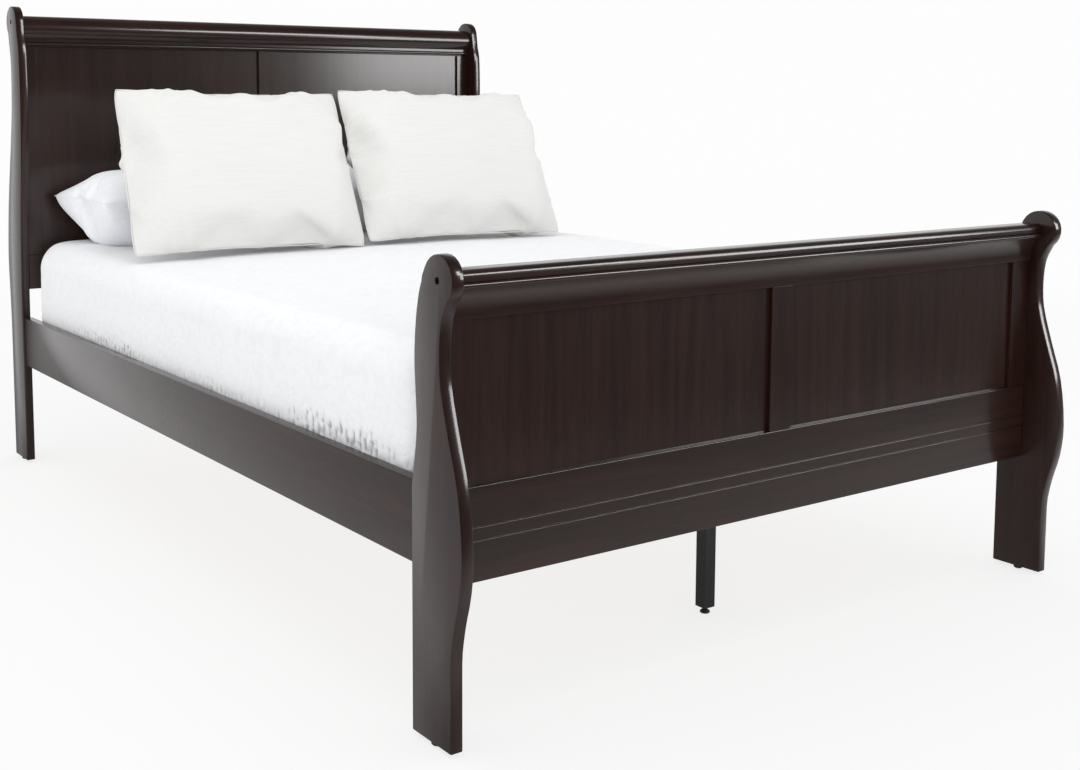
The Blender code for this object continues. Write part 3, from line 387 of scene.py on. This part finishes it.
def addBump(tree, shader, height, strength, distance):
    bump = put(tree, "Bump", {"Height": height, "Strength": strength, "Distance": distance})
    tree.links.new(bump.outputs[0], shader.inputs["Normal"])


grainTurns = {
    "x": (0.0, 0.0, 0.0),
    "y": (0.0, 0.0, math.radians(90)),
    "z": (0.0, math.radians(90), 0.0),
}

lacquer = {
    "dark": (0.0125, 0.0046, 0.0034, 1.0),
    "light": (0.037, 0.0150, 0.0110, 1.0),
    "figure": 0.5,
    "rough": 0.42,
    "underGloss": 0.08,
    "clearCoat": 0.90,
    "coatRough": 0.16,
}


def makeLacquer(grain):
    material, tree, shader = startMaterial(
        "cherryLacquer" + grain.upper(), Coat_Weight=lacquer["clearCoat"],
        Coat_Roughness=lacquer["coatRough"], Coat_IOR=1.5, Specular_IOR_Level=lacquer["underGloss"])
    spot = objectSpot(tree, grainTurns[grain])
    wood = useEffect(tree, woodGrain, Vector=spot, Dark=lacquer["dark"], Light=lacquer["light"],
                     Figure=lacquer["figure"])
    rubbed = useEffect(tree, handling, Vector=spot, Base=lacquer["rough"], Amount=0.10)
    tree.links.new(wood["Color"], shader.inputs["Base Color"])
    tree.links.new(rubbed["Roughness"], shader.inputs["Roughness"])
    peel = put(tree, "TexNoise", {"Vector": spot, "Scale": 55.0, "Detail": 2.0}).outputs["Fac"]
    height = sumUp(tree, "ADD", sumUp(tree, "MULTIPLY", wood["Pores"], 0.25),
                   sumUp(tree, "ADD", sumUp(tree, "MULTIPLY", wood["Streak"], 0.3), peel))
    addBump(tree, shader, height, 0.10, 0.0012)
    return material


pine = {"dark": (0.36, 0.235, 0.125, 1.0), "light": (0.62, 0.46, 0.285, 1.0), "rough": 0.58}


def makePine(grain):
    material, tree, shader = startMaterial("slatPine" + grain.upper())
    spot = objectSpot(tree, grainTurns[grain])
    wood = useEffect(tree, woodGrain, Vector=spot, Dark=pine["dark"], Light=pine["light"], Figure=1.0)
    rubbed = useEffect(tree, handling, Vector=spot, Base=pine["rough"], Amount=0.12)
    knots = put(tree, "TexVoronoi", {"Vector": put(tree, "Mapping", {
        "Vector": spot, "Scale": (2.2, 7.0, 7.0)}).outputs[0], "Scale": 1.0}).outputs["Distance"]
    knot = mapRange(tree, knots, 0.03, 0.10)
    colour = mixColours(tree, knot, (0.17, 0.085, 0.04, 1.0), wood["Color"])
    tree.links.new(colour, shader.inputs["Base Color"])
    tree.links.new(rubbed["Roughness"], shader.inputs["Roughness"])
    addBump(tree, shader, wood["Pores"], 0.35, 0.0006)
    return material


def makeMetal(name, colour, metallic, rough, coarse):
    material, tree, shader = startMaterial(name, Metallic=metallic)
    spot = objectSpot(tree)
    rubbed = useEffect(tree, handling, Vector=spot, Base=rough, Amount=0.16)
    speckle = put(tree, "TexNoise", {"Vector": spot, "Scale": coarse, "Detail": 3.0}).outputs["Fac"]
    dull = tuple(c * 0.72 for c in colour[:3]) + (1.0,)
    tree.links.new(mixColours(tree, rubbed["Mask"], colour, dull), shader.inputs["Base Color"])
    tree.links.new(rubbed["Roughness"], shader.inputs["Roughness"])
    addBump(tree, shader, speckle, 0.12, 0.0004)
    return material


def makeFabric(name, colour, shade, turn, threads, slub, sheen, bump, crinkle=0.0, cells=60.0,
               paintedGatherShade=None):
    material, tree, shader = startMaterial(name, Roughness=0.92, Sheen_Weight=sheen, Sheen_Roughness=0.4)
    spot = objectSpot(tree, turn)
    weave = useEffect(tree, threadWeave, Vector=spot, Threads=threads, Slub=slub)
    base = mixColours(tree, sumUp(tree, "MULTIPLY", weave["Shade"], 0.5), colour, shade)
    height = sumUp(tree, "MULTIPLY", weave["Height"], 0.12)
    if crinkle:
        drawn = useEffect(tree, puckers, Vector=spot, Cells=cells)
        # painted shade in the puckers' creases
        base = mixColours(tree, sumUp(tree, "MULTIPLY", drawn["PaintedCreaseShade"], 0.6), base, shade)
        height = sumUp(tree, "ADD", height, sumUp(tree, "MULTIPLY", drawn["Height"], crinkle))
    soil = put(tree, "TexNoise", {"Vector": spot, "Scale": 4.0, "Detail": 4.0}).outputs["Fac"]
    base = mixColours(tree, mapRange(tree, soil, 0.3, 0.8, 0.0, 0.25), base, shade)
    # painted shade: the quilt's gathers are darkened by the share held in its gather attribute
    if paintedGatherShade:
        paintedGatherShare = put(tree, "Attribute", attribute_name="gather").outputs["Fac"]
        base = mixColours(tree, paintedGatherShare, base, paintedGatherShade)
    tree.links.new(base, shader.inputs["Base Color"])
    addBump(tree, shader, height, 1.0, bump)
    return material


lacquers = {way: makeLacquer(way) for way in grainTurns}
pines = {way: makePine(way) for way in grainTurns}
blackSteel = makeMetal("blackSteel", (0.012, 0.012, 0.013, 1.0), 0.0, 0.28, 900.0)
zincSteel = makeMetal("zincSteel", (0.55, 0.56, 0.57, 1.0), 1.0, 0.32, 500.0)
blackPlastic = makeMetal("blackPlastic", (0.014, 0.014, 0.014, 1.0), 0.0, 0.45, 700.0)
print("materials: lacquer, pine, steel, plastic")


softEdges = {"width": 0.0007, "rings": 2, "fromAngle": 28.0}
upright = ("post", "stile", "panel")


def makeSmoothingSteps():   # joins the faces of a carried-over piece and shades its curves smoothly
    steps = bpy.data.node_groups.new("smoothCurves", "GeometryNodeTree")
    steps.interface.new_socket(name="Geometry", in_out="INPUT", socket_type="NodeSocketGeometry")
    steps.interface.new_socket(name="Geometry", in_out="OUTPUT", socket_type="NodeSocketGeometry")
    last = steps.nodes.new("NodeGroupInput").outputs[0]
    merge = steps.nodes.new("GeometryNodeMergeByDistance")
    merge.inputs["Distance"].default_value = 0.00002
    stages = [merge]
    for name in ("custom_normal", "sharp_edge", "sharp_face"):
        drop = steps.nodes.new("GeometryNodeRemoveAttribute")
        drop.inputs["Name"].default_value = name
        stages.append(drop)
    for stage in stages:
        steps.links.new(last, stage.inputs[0])
        last = stage.outputs[0]
    shade = steps.nodes.new("GeometryNodeSetShadeSmooth")
    steps.links.new(last, shade.inputs[0])
    steps.links.new(shade.outputs[0], steps.nodes.new("NodeGroupOutput").inputs[0])
    return steps


def finishCarriedPieces():
    steps = makeSmoothingSteps()
    plain = {"black_steel": blackSteel, "zinc_steel": zincSteel, "black_plastic": blackPlastic}
    for name, node in nodes.items():
        slotName = node.material_slots[0].material.name.split(".")[0]
        low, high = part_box(name)
        size = high - low
        longest = "xyz"[max(range(3), key=lambda k: size[k])]
        if slotName == "cherry_lacquer":
            way = "z" if any(word in name for word in upright) else longest
            finish = lacquers[way]
        elif slotName == "slat_timber":
            finish = pines[longest]
        elif slotName in plain:
            finish = plain[slotName]
        else:
            continue
        node.material_slots[0].material = finish
        smooth = node.modifiers.new("smoothCurves", "NODES")
        smooth.node_group = steps
        bevel = node.modifiers.new("softEdges", "BEVEL")
        bevel.width, bevel.segments = softEdges["width"], softEdges["rings"]
        bevel.limit_method, bevel.angle_limit = "ANGLE", math.radians(softEdges["fromAngle"])
        bevel.harden_normals = True


finishCarriedPieces()
print("carried pieces: finished")


screwSetup = {
    "radius": 0.0042, "dome": 0.0018, "sides": 20,
    "slotLength": 0.0044, "slotWidth": 0.0010, "slotFloor": 0.0004,
    "every": 0.28, "fromEnd": 0.10,     # along each cleat
    "slatInset": 0.012,                 # in from each slat's end
    "cleatSpin": 0.7, "slatSpin": 0.9,  # turn from one screw to the next, in radians
}


def makeScrewHead(setup):   # a domed head standing on Z, with a cross recess
    bm = bmesh.new()
    steps = 5
    rings = []
    for k in range(steps):
        angle = 0.47 * math.pi * k / (steps - 1)
        radius, z = setup["radius"] * math.cos(angle), setup["dome"] * math.sin(angle)
        rings.append([(radius * math.cos(a), radius * math.sin(a), z)
                      for a in (2.0 * math.pi * j / setup["sides"] for j in range(setup["sides"]))])
    skinRings(bm, rings)
    head = addObject("screwHead", bm, [zincSteel])
    cutters = []
    for name, turn in (("crossSlotA", 0.0), ("crossSlotB", math.pi / 2.0)):
        bar = bmesh.new()
        bmesh.ops.create_cube(bar, size=1.0)
        size = (setup["slotLength"], setup["slotWidth"], setup["dome"] * 2.0)
        shift = Matrix.Translation((0.0, 0.0, setup["slotFloor"] + setup["dome"]))
        shape = Matrix.Rotation(turn, 4, "Z") @ shift @ Matrix.Diagonal((*size, 1.0))
        bmesh.ops.transform(bar, matrix=shape, verts=bar.verts)
        cutter = addObject(name, bar, [])
        cut = head.modifiers.new(name, "BOOLEAN")
        cut.operation, cut.object, cut.solver = "DIFFERENCE", cutter, "EXACT"
        cutters.append(cutter)
    shaped = head.evaluated_get(bpy.context.evaluated_depsgraph_get())
    mesh = bpy.data.meshes.new_from_object(shaped)
    for extra in (head, *cutters):
        bpy.data.objects.remove(extra)
    return mesh


def makeScrews(setup):
    head = makeScrewHead(setup)
    spots = []
    for side, way in (("left", 1.0), ("right", -1.0)):
        low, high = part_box("cleat_" + side)
        x = high.x if way > 0.0 else low.x
        count = int((high.y - low.y - 2.0 * setup["fromEnd"]) / setup["every"]) + 1
        step = (high.y - low.y - 2.0 * setup["fromEnd"]) / (count - 1)
        for k in range(count):
            spots.append((Vector((x, low.y + setup["fromEnd"] + k * step, (low.z + high.z) / 2.0)),
                          Vector((way, 0.0, 0.0)), setup["cleatSpin"] * k))
    for name in nodes:
        if name.startswith("slat_"):
            low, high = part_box(name)
            for k, x in enumerate((low.x + setup["slatInset"], high.x - setup["slatInset"])):
                spot = Vector((x, (low.y + high.y) / 2.0, high.z))
                spots.append((spot, Vector((0.0, 0.0, 1.0)), setup["slatSpin"] * k))
    bm = bmesh.new()
    for spot, way, spin in spots:
        known = len(bm.verts)
        bm.from_mesh(head)
        bm.verts.ensure_lookup_table()
        turn = way.to_track_quat("Z", "Y").to_matrix().to_4x4() @ Matrix.Rotation(spin, 4, "Z")
        bmesh.ops.transform(bm, matrix=Matrix.Translation(spot) @ turn, verts=bm.verts[known:])
    screws = addObject("screw_heads", bm, [zincSteel], smooth=False)
    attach(screws, "frame")
    print("screws: %d heads" % len(spots))


makeScrews(screwSetup)


ticking = makeFabric("mattressTicking", (0.80, 0.79, 0.76, 1.0), (0.66, 0.65, 0.62, 1.0), (0.0, 0.0, 0.0),
                     2600.0, 0.3, 0.15, 0.0006, crinkle=0.5, cells=34.0)
# the quilt's last colour is painted shade for the gathers beside the rails
quiltCotton = makeFabric("quiltCotton", (0.905, 0.912, 0.925, 1.0), (0.85, 0.86, 0.88, 1.0), (0.0, 0.0, 0.0),
                         2100.0, 0.35, 0.25, 0.0011, crinkle=1.0, cells=62.0,
                         paintedGatherShade=(0.36, 0.36, 0.38, 1.0))
pillowCotton = makeFabric("pillowCotton", (0.90, 0.912, 0.94, 1.0), (0.83, 0.845, 0.88, 1.0),
                          (0.0, 0.0, 0.0), 4200.0, 0.2, 0.2, 0.0003)
print("materials: ticking, quilt, pillow cotton")


def roundedPoint(plan, edge, drop, across, along):   # lays a flat sheet's point over a soft-edged slab
    halfX, halfY, corner, top = plan
    inner = max(corner - edge, 0.004)
    coreX, coreY = halfX - edge - inner, halfY - edge - inner
    overX, overY = abs(across) - coreX, abs(along) - coreY
    signX, signY = math.copysign(1.0, across), math.copysign(1.0, along)
    if overX <= 0.0 and overY <= 0.0:
        return Vector((across, along, top)), Vector((0.0, 0.0, 1.0)), 0.0
    if overX > 0.0 and overY > 0.0:
        reach, angle = max(overX, overY), math.atan2(overY, overX)
        out = Vector((math.cos(angle) * signX, math.sin(angle) * signY, 0.0))
        start = Vector((coreX * signX, coreY * signY, top))
    elif overX > 0.0:
        reach, out = overX, Vector((signX, 0.0, 0.0))
        start = Vector((coreX * signX, along, top))
    else:
        reach, out = overY, Vector((0.0, signY, 0.0))
        start = Vector((across, coreY * signY, top))
    past = reach - inner
    if past <= 0.0:
        return start + out * reach, Vector((0.0, 0.0, 1.0)), 0.0
    turn = min(past / edge, math.pi / 2.0)
    hang = max(0.0, past - edge * math.pi / 2.0)
    spot = start + out * (inner + edge * math.sin(turn))
    spot.z -= edge * (1.0 - math.cos(turn)) + hang
    return spot, out * math.sin(turn) + Vector((0.0, 0.0, math.cos(turn))), past / drop


quiltSetup = {
    "edge": 0.055,          # radius of the soft top edge
    "corner": 0.085,
    "step": 0.0050,         # spacing of the mesh
    "thickness": 0.0065,
    "loft": 0.0022,         # slow rise and fall of the padding
    "pucker": 0.0005,
    "headRise": 0.020,      # how far the pillows' end puffs up
    "tuck": 0.0034,         # depth of the gathers beside the rails
    "tuckEvery": 0.019,
    "tuckBand": 0.048,      # how far they run up from the rail's top edge
    "hemFrom": 0.93,        # share of the drop where the relief begins to fade
    "hemHold": 0.7,         # how much of it is gone at the hem
    "binding": 0.0034,      # radius of the bound edge
}


def quiltRelief(setup, x, y, share, runsAlong, aboveRail):   # its height, and how dark the painted shade in its gathers is
    place = Vector((x, y, 0.0))
    rise = setup["loft"] * noise.noise(place * 5.5 + Vector((3.1, 0.0, 7.7)))
    rise += 0.35 * setup["loft"] * noise.noise(place * 17.0)
    rise += setup["pucker"] * (abs(noise.noise(place * 62.0)) * -1.6 + 0.4)
    patch = smoothRamp(-0.45, 0.40, noise.noise(Vector((runsAlong * 3.1, 4.0, 0.5))))
    band = setup["tuckBand"] * (0.45 + 0.75 * patch)
    near = smoothRamp(band, 0.15 * band, aboveRail) if share > 0.12 else 0.0
    if near == 0.0:
        return rise, 0.0
    drift = 3.4 * noise.noise(Vector((runsAlong * 11.0, share * 3.0, 2.0)))
    lean = 30.0 * aboveRail * noise.noise(Vector((runsAlong * 6.0, 1.0, 9.0)))
    wave = math.sin(2.0 * math.pi * runsAlong / setup["tuckEvery"] + drift + lean)
    fine = noise.noise(Vector((runsAlong * 120.0 + 40.0 * aboveRail, aboveRail * 75.0, 8.0)))
    gather = (0.35 * wave + 1.25 * fine) * near * (0.50 + 0.50 * patch)
    # painted shade: how dark the deepest gathers are painted, through the gather attribute
    paintedGatherShare = smoothRamp(0.05, 0.65, -gather) * (0.40 + 0.60 * patch)
    return rise + setup["tuck"] * gather, paintedGatherShare


def makeQuilt(setup):
    low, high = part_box("quilt")
    middle, half = (low + high) / 2.0, (high - low) / 2.0
    edge, hem = setup["edge"], low.z - 0.002
    plan = (half.x, half.y, setup["corner"], high.z - 0.0015)
    drop = edge * math.pi / 2.0 + (high.z - 0.0015 - edge - hem)
    reachX, reachY = half.x - edge + drop, half.y - edge + drop
    countX, countY = (int(round(2.0 * reach / setup["step"])) for reach in (reachX, reachY))
    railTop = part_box("side_rail_left")[1].z
    bm = bmesh.new()
    grid, paintedGatherShares = [], []
    for j in range(countY + 1):
        along, row = -reachY + 2.0 * reachY * j / countY, []
        for i in range(countX + 1):
            across = -reachX + 2.0 * reachX * i / countX
            spot, way, share = roundedPoint(plan, edge, drop, across, along)
            sideways = abs(way.x) > abs(way.y)
            rise, paintedGatherShare = quiltRelief(setup, across, along, share, spot.y if sideways else spot.x + 7.0,
                                      spot.z - railTop)
            spot += way * rise
            puff = smoothRamp(-0.3, 0.8, along) * smoothRamp(0.40, 0.0, share)
            spot.z += setup["headRise"] * puff * (1.0 - 0.6 * (across / half.x) ** 2)
            paintedGatherShares.append(paintedGatherShare)
            if share > setup["hemFrom"]:   # the hem is held straight between mattress and rail
                spot -= way * rise * smoothRamp(setup["hemFrom"], 1.0, share) * setup["hemHold"]
            row.append(bm.verts.new(spot + Vector((middle.x, middle.y, 0.0))))
        grid.append(row)
    for j in range(countY):
        for i in range(countX):
            bm.faces.new((grid[j][i], grid[j][i + 1], grid[j + 1][i + 1], grid[j + 1][i]))
    rim = [v.co.copy() for v in grid[0]] + [row[-1].co.copy() for row in grid[1:]]
    rim += [v.co.copy() for v in grid[-1][-2::-1]] + [row[0].co.copy() for row in grid[-2:0:-1]]
    quilt = addObject("quilt_cover", bm, [quiltCotton])
    # the gather attribute carries the painted shade of the gathers to the quilt's material
    quilt.data.attributes.new("gather", "FLOAT", "POINT").data.foreach_set("value", paintedGatherShares)
    shell = quilt.modifiers.new("thickness", "SOLIDIFY")
    shell.thickness, shell.offset = setup["thickness"], -1.0
    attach(quilt, "mattress")
    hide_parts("quilt")
    binding = bmesh.new()
    addTube(binding, [spot - Vector((0.0, 0.0, 0.001)) for spot in rim[::4]], setup["binding"])
    hemPiece = addObject("quilt_binding", binding, [quiltCotton])
    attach(hemPiece, "mattress")
    print("quilt: %d faces, cut %.3f x %.3f m" % (countX * countY, 2.0 * reachX, 2.0 * reachY))


mattressSetup = {"edge": 0.042, "corner": 0.090, "step": 0.03, "crown": 0.004, "pipe": 0.0042}


def makeMattress(setup):
    low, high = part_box("mattress")
    middle, half = (low + high) / 2.0, (high - low) / 2.0
    levels = []
    edge = setup["edge"]
    for k in range(7):   # lower edge, sides, upper edge
        turn = math.pi / 2.0 * k / 6.0
        levels.append((edge * (1.0 - math.sin(turn)), low.z + edge * (1.0 - math.cos(turn))))
    for k in range(1, 9):
        t = k / 9.0
        z = low.z + edge + (high.z - low.z - 2.0 * edge) * t
        levels.append((0.0, z))
    for k in range(7):
        turn = math.pi / 2.0 * k / 6.0
        levels.append((edge * (1.0 - math.cos(turn)), high.z - edge * (1.0 - math.sin(turn))))
    bm = bmesh.new()
    rings = [mattressRing(half, middle, setup["corner"], inset, z) for inset, z in levels]
    rings.insert(0, mattressRing(half, middle, setup["corner"], 0.10, low.z + 0.0002))
    rings.append(mattressRing(half, middle, setup["corner"], 0.10, high.z + setup["crown"]))
    skinRings(bm, rings)
    mattress = addObject("mattress_body", bm, [ticking])
    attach(mattress, "mattress")
    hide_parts("mattress")
    for name, z in (("mattress_piping_lower", low.z + edge), ("mattress_piping_upper", high.z - edge)):
        pipe = bmesh.new()
        addTube(pipe, mattressRing(half, middle, setup["corner"], -0.0012, z), setup["pipe"])
        piece = addObject(name, pipe, [ticking])
        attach(piece, "mattress")
    print("mattress: body and two rows of piping")


def mattressRing(half, middle, corner, inset, z):
    spots, turns = [], 8
    radius = max(corner - inset, 0.012)
    for quarter in range(4):
        signX, signY = ((1, -1), (1, 1), (-1, 1), (-1, -1))[quarter]
        centre = Vector((middle.x + signX * (half.x - inset - radius),
                         middle.y + signY * (half.y - inset - radius), z))
        for k in range(turns + 1):
            angle = math.radians(-90 + 90 * quarter + 90.0 * k / turns)
            spots.append(centre + Vector((math.cos(angle), math.sin(angle), 0.0)) * radius)
        following = spots[-1]
        nextX, nextY = ((1, 1), (-1, 1), (-1, -1), (1, -1))[quarter]
        angle = math.radians(90 * quarter)
        target = Vector((middle.x + nextX * (half.x - inset - radius),
                         middle.y + nextY * (half.y - inset - radius), z))
        target += Vector((math.cos(angle), math.sin(angle), 0.0)) * radius
        for k in range(1, 24):
            spots.append(following.lerp(target, k / 24.0))
    return spots


makeMattress(mattressSetup)
makeQuilt(quiltSetup)


def sewnBag(setup):   # two flat cloths joined at their edges
    (width, height), (columns, rows) = setup["cut"], setup["grid"]
    ears, belly, loft = setup["ears"], setup["belly"], setup["loft"]
    bm = bmesh.new()
    layers, places = [], []
    for side in (1.0, -1.0):
        layer = []
        for j in range(rows + 1):
            v, row = 2.0 * j / rows - 1.0, []
            for i in range(columns + 1):
                u = 2.0 * i / columns - 1.0
                onEdge = abs(u) > 0.9999 or abs(v) > 0.9999
                if side < 0.0 and onEdge:
                    row.append(layers[0][j][i])
                    continue
                point = (abs(u) * abs(v)) ** 5
                x = 0.5 * u * (width + ears * point + belly * (1.0 - v * v))
                y = 0.5 * v * (height + ears * point + belly * (1.0 - u * u))
                lift = 0.0 if onEdge else loft * ((1.0 - u * u) * (1.0 - v * v)) ** 0.45 + 0.0012
                row.append(bm.verts.new((x, y, side * lift)))
                places.append((i, j))
            layer.append(row)
        layers.append(layer)
        for j in range(rows):
            for i in range(columns):
                corners = [layer[j][i], layer[j][i + 1], layer[j + 1][i + 1], layer[j + 1][i]]
                bm.faces.new(corners if side > 0.0 else corners[::-1])
    bm.verts.index_update()
    first = layers[0]
    rim = [v.index for v in first[0]] + [row[-1].index for row in first[1:]]
    rim += [v.index for v in first[-1][-2::-1]] + [row[0].index for row in first[-2:0:-1]]
    return bm, rim, np.array(places)


def puffUp(piece, setup):   # inflates the sewn bag, so that its seams gather as cloth does
    start = [v.co.copy() for v in piece.data.vertices]
    cloth = piece.modifiers.new("puff", "CLOTH")
    rules = cloth.settings
    rules.quality, rules.mass = 6, 0.25
    rules.tension_stiffness = rules.compression_stiffness = setup["stiffness"]
    rules.shear_stiffness, rules.bending_stiffness = setup["shear"], setup["bending"]
    rules.air_damping = 2.0
    rules.use_pressure, rules.uniform_pressure_force = True, setup["pressure"]
    rules.effector_weights.gravity = 0.0
    cloth.collision_settings.use_collision = False
    cloth.point_cache.frame_start, cloth.point_cache.frame_end = 1, setup["frames"]
    for number in range(1, setup["frames"] + 1):
        scene.frame_set(number)
    shaped = piece.evaluated_get(bpy.context.evaluated_depsgraph_get())
    spots = [v.co.copy() for v in shaped.data.vertices]
    piece.modifiers.remove(cloth)
    scene.frame_set(1)
    for vertex, before, after in zip(piece.data.vertices, start, spots):
        move = after - before
        if move.length > setup["mostMove"]:
            move *= setup["mostMove"] / move.length
        vertex.co = before + move


def smoothFaces(piece, rim, rounds):   # softens the deepest folds, leaving the seam as it is
    bm = bmesh.new()
    bm.from_mesh(piece.data)
    seam = set(rim)
    inner = [v for v in bm.verts if v.index not in seam]
    for _ in range(rounds):
        bmesh.ops.smooth_vert(bm, verts=inner, factor=0.5,
                              use_axis_x=True, use_axis_y=True, use_axis_z=True)
    bm.to_mesh(piece.data)
    bm.free()


def fitBag(piece, places, setup):   # brings the finished bag to its real size and outline
    size, grid = np.array(setup["size"]), setup["grid"]
    spots = np.array([v.co for v in piece.data.vertices])
    spots = (spots - (spots.max(0) + spots.min(0)) / 2.0) * size / (spots.max(0) - spots.min(0))
    share = 2.0 * places / np.array(grid) - 1.0
    for axis, other in ((0, 1), (1, 0)):
        for way, end in ((1.0, grid[axis]), (-1.0, 0)):
            seam = np.zeros(grid[other] + 1)
            onSeam = places[:, axis] == end
            seam[places[onSeam, other]] = np.abs(spots[onSeam, axis])
            t = np.linspace(-1.0, 1.0, grid[other] + 1)
            wanted = size[axis] / 2.0 * (1.0 - setup["dip"][axis] * (1.0 - t ** 4))
            pull = 1.0 + setup["straighten"] * (wanted / np.maximum(seam, 0.01) - 1.0)
            chosen = share[:, axis] * way > 0.0
            spots[chosen, axis] *= pull[places[chosen, other]]
    corner = np.abs(share[:, 0] * share[:, 1]) ** 8
    spots[:, :2] *= (1.0 - setup["round"] * corner)[:, None]
    thin = 1.0 - np.abs(spots[:, 2]) / (size[2] / 2.0)
    spots[:, 2] += setup["endRise"] * thin * share[:, 0] ** 2
    for vertex, spot in zip(piece.data.vertices, spots):
        vertex.co = spot


def seatBag(piece, centre, across, up, out):
    turn = Matrix((across, up, out)).transposed().to_4x4()
    piece.data.transform(Matrix.Translation(centre) @ turn)


def makeBag(name, setup, node, body, material, slotName, centre, across, up, out):
    bm, rim, places = sewnBag(setup)
    piece = addObject(name, bm, [material])
    puffUp(piece, setup)
    smoothFaces(piece, rim, setup["smoothing"])
    fitBag(piece, places, setup)
    seatBag(piece, centre, across, up, out)
    seam = bmesh.new()
    addTube(seam, [piece.data.vertices[k].co.copy() for k in rim], setup["seam"], sides=6)
    seamPiece = addObject(name + "_seam", seam, [material])
    for part in (piece, seamPiece):
        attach(part, body)
    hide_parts(node)
    finer = piece.modifiers.new("finer", "SUBSURF")
    finer.levels = finer.render_levels = 1
    return piece


shamSetup = {
    "cut": (0.650, 0.490), "ears": 0.0, "belly": 0.050, "grid": (84, 64), "loft": 0.018,
    "straighten": 0.95, "dip": (0.030, 0.070), "round": 0.040, "smoothing": 20,
    "pressure": 4.5, "stiffness": 18.0, "shear": 6.0, "bending": 0.35, "frames": 26, "mostMove": 0.090,
    "size": (0.618, 0.482, 0.150), "endRise": 0.0, "seam": 0.0014, "fill": 0.75,
    "lean": 35.0, "roll": 1.0,     # degrees back from upright, and towards the right side
    "slump": 0.11,                 # how far the top leans to the right, as a share of the height
    "threads": 1250.0, "slub": 0.45,
}
pillowSetup = {
    "cut": (0.700, 0.425), "ears": 0.010, "belly": 0.030, "grid": (84, 54), "loft": 0.020,
    "straighten": 0.55, "dip": (0.050, 0.100), "round": 0.040, "smoothing": 3,
    "pressure": 6.5, "stiffness": 16.0, "shear": 6.0, "bending": 0.25, "frames": 26, "mostMove": 0.110,
    "size": (0.646, 0.390, 0.200), "endRise": 0.030, "seam": 0.0012, "fill": 0.8,
}


def shamAxes(setup):
    lean, roll = math.radians(setup["lean"]), math.radians(setup["roll"])
    level = Vector((1.0, 0.0, 0.0))
    rise = Vector((0.0, math.sin(lean), math.cos(lean)))
    across = level * math.cos(roll) - rise * math.sin(roll)
    up = level * math.sin(roll) + rise * math.cos(roll)
    return across, up + across * setup["slump"], across.cross(up)


def makePillowPairs():
    leanTurn = math.radians(shamSetup["lean"] - 90.0)
    linen = makeFabric("shamLinen", (0.745, 0.742, 0.728, 1.0), (0.700, 0.696, 0.676, 1.0),
                       (leanTurn, 0.0, 0.0), shamSetup["threads"], shamSetup["slub"], 0.25, 0.0007)
    levelAxes = Vector((1, 0, 0)), Vector((0, 1, 0)), Vector((0, 0, 1))
    for side in ("left", "right"):
        low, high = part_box("pillow_" + side)
        makeBag("pillow_%s_case" % side, pillowSetup, "pillow_" + side, "pillow_" + side, pillowCotton,
                "pillow_cotton", (low + high) / 2.0, *levelAxes)
        low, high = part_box("sham_" + side)
        makeBag("sham_%s_cover" % side, shamSetup, "sham_" + side, "sham_" + side, linen,
                "sham_linen", (low + high) / 2.0, *shamAxes(shamSetup))
        print("pillow and sham, %s: done" % side)


makePillowPairs()
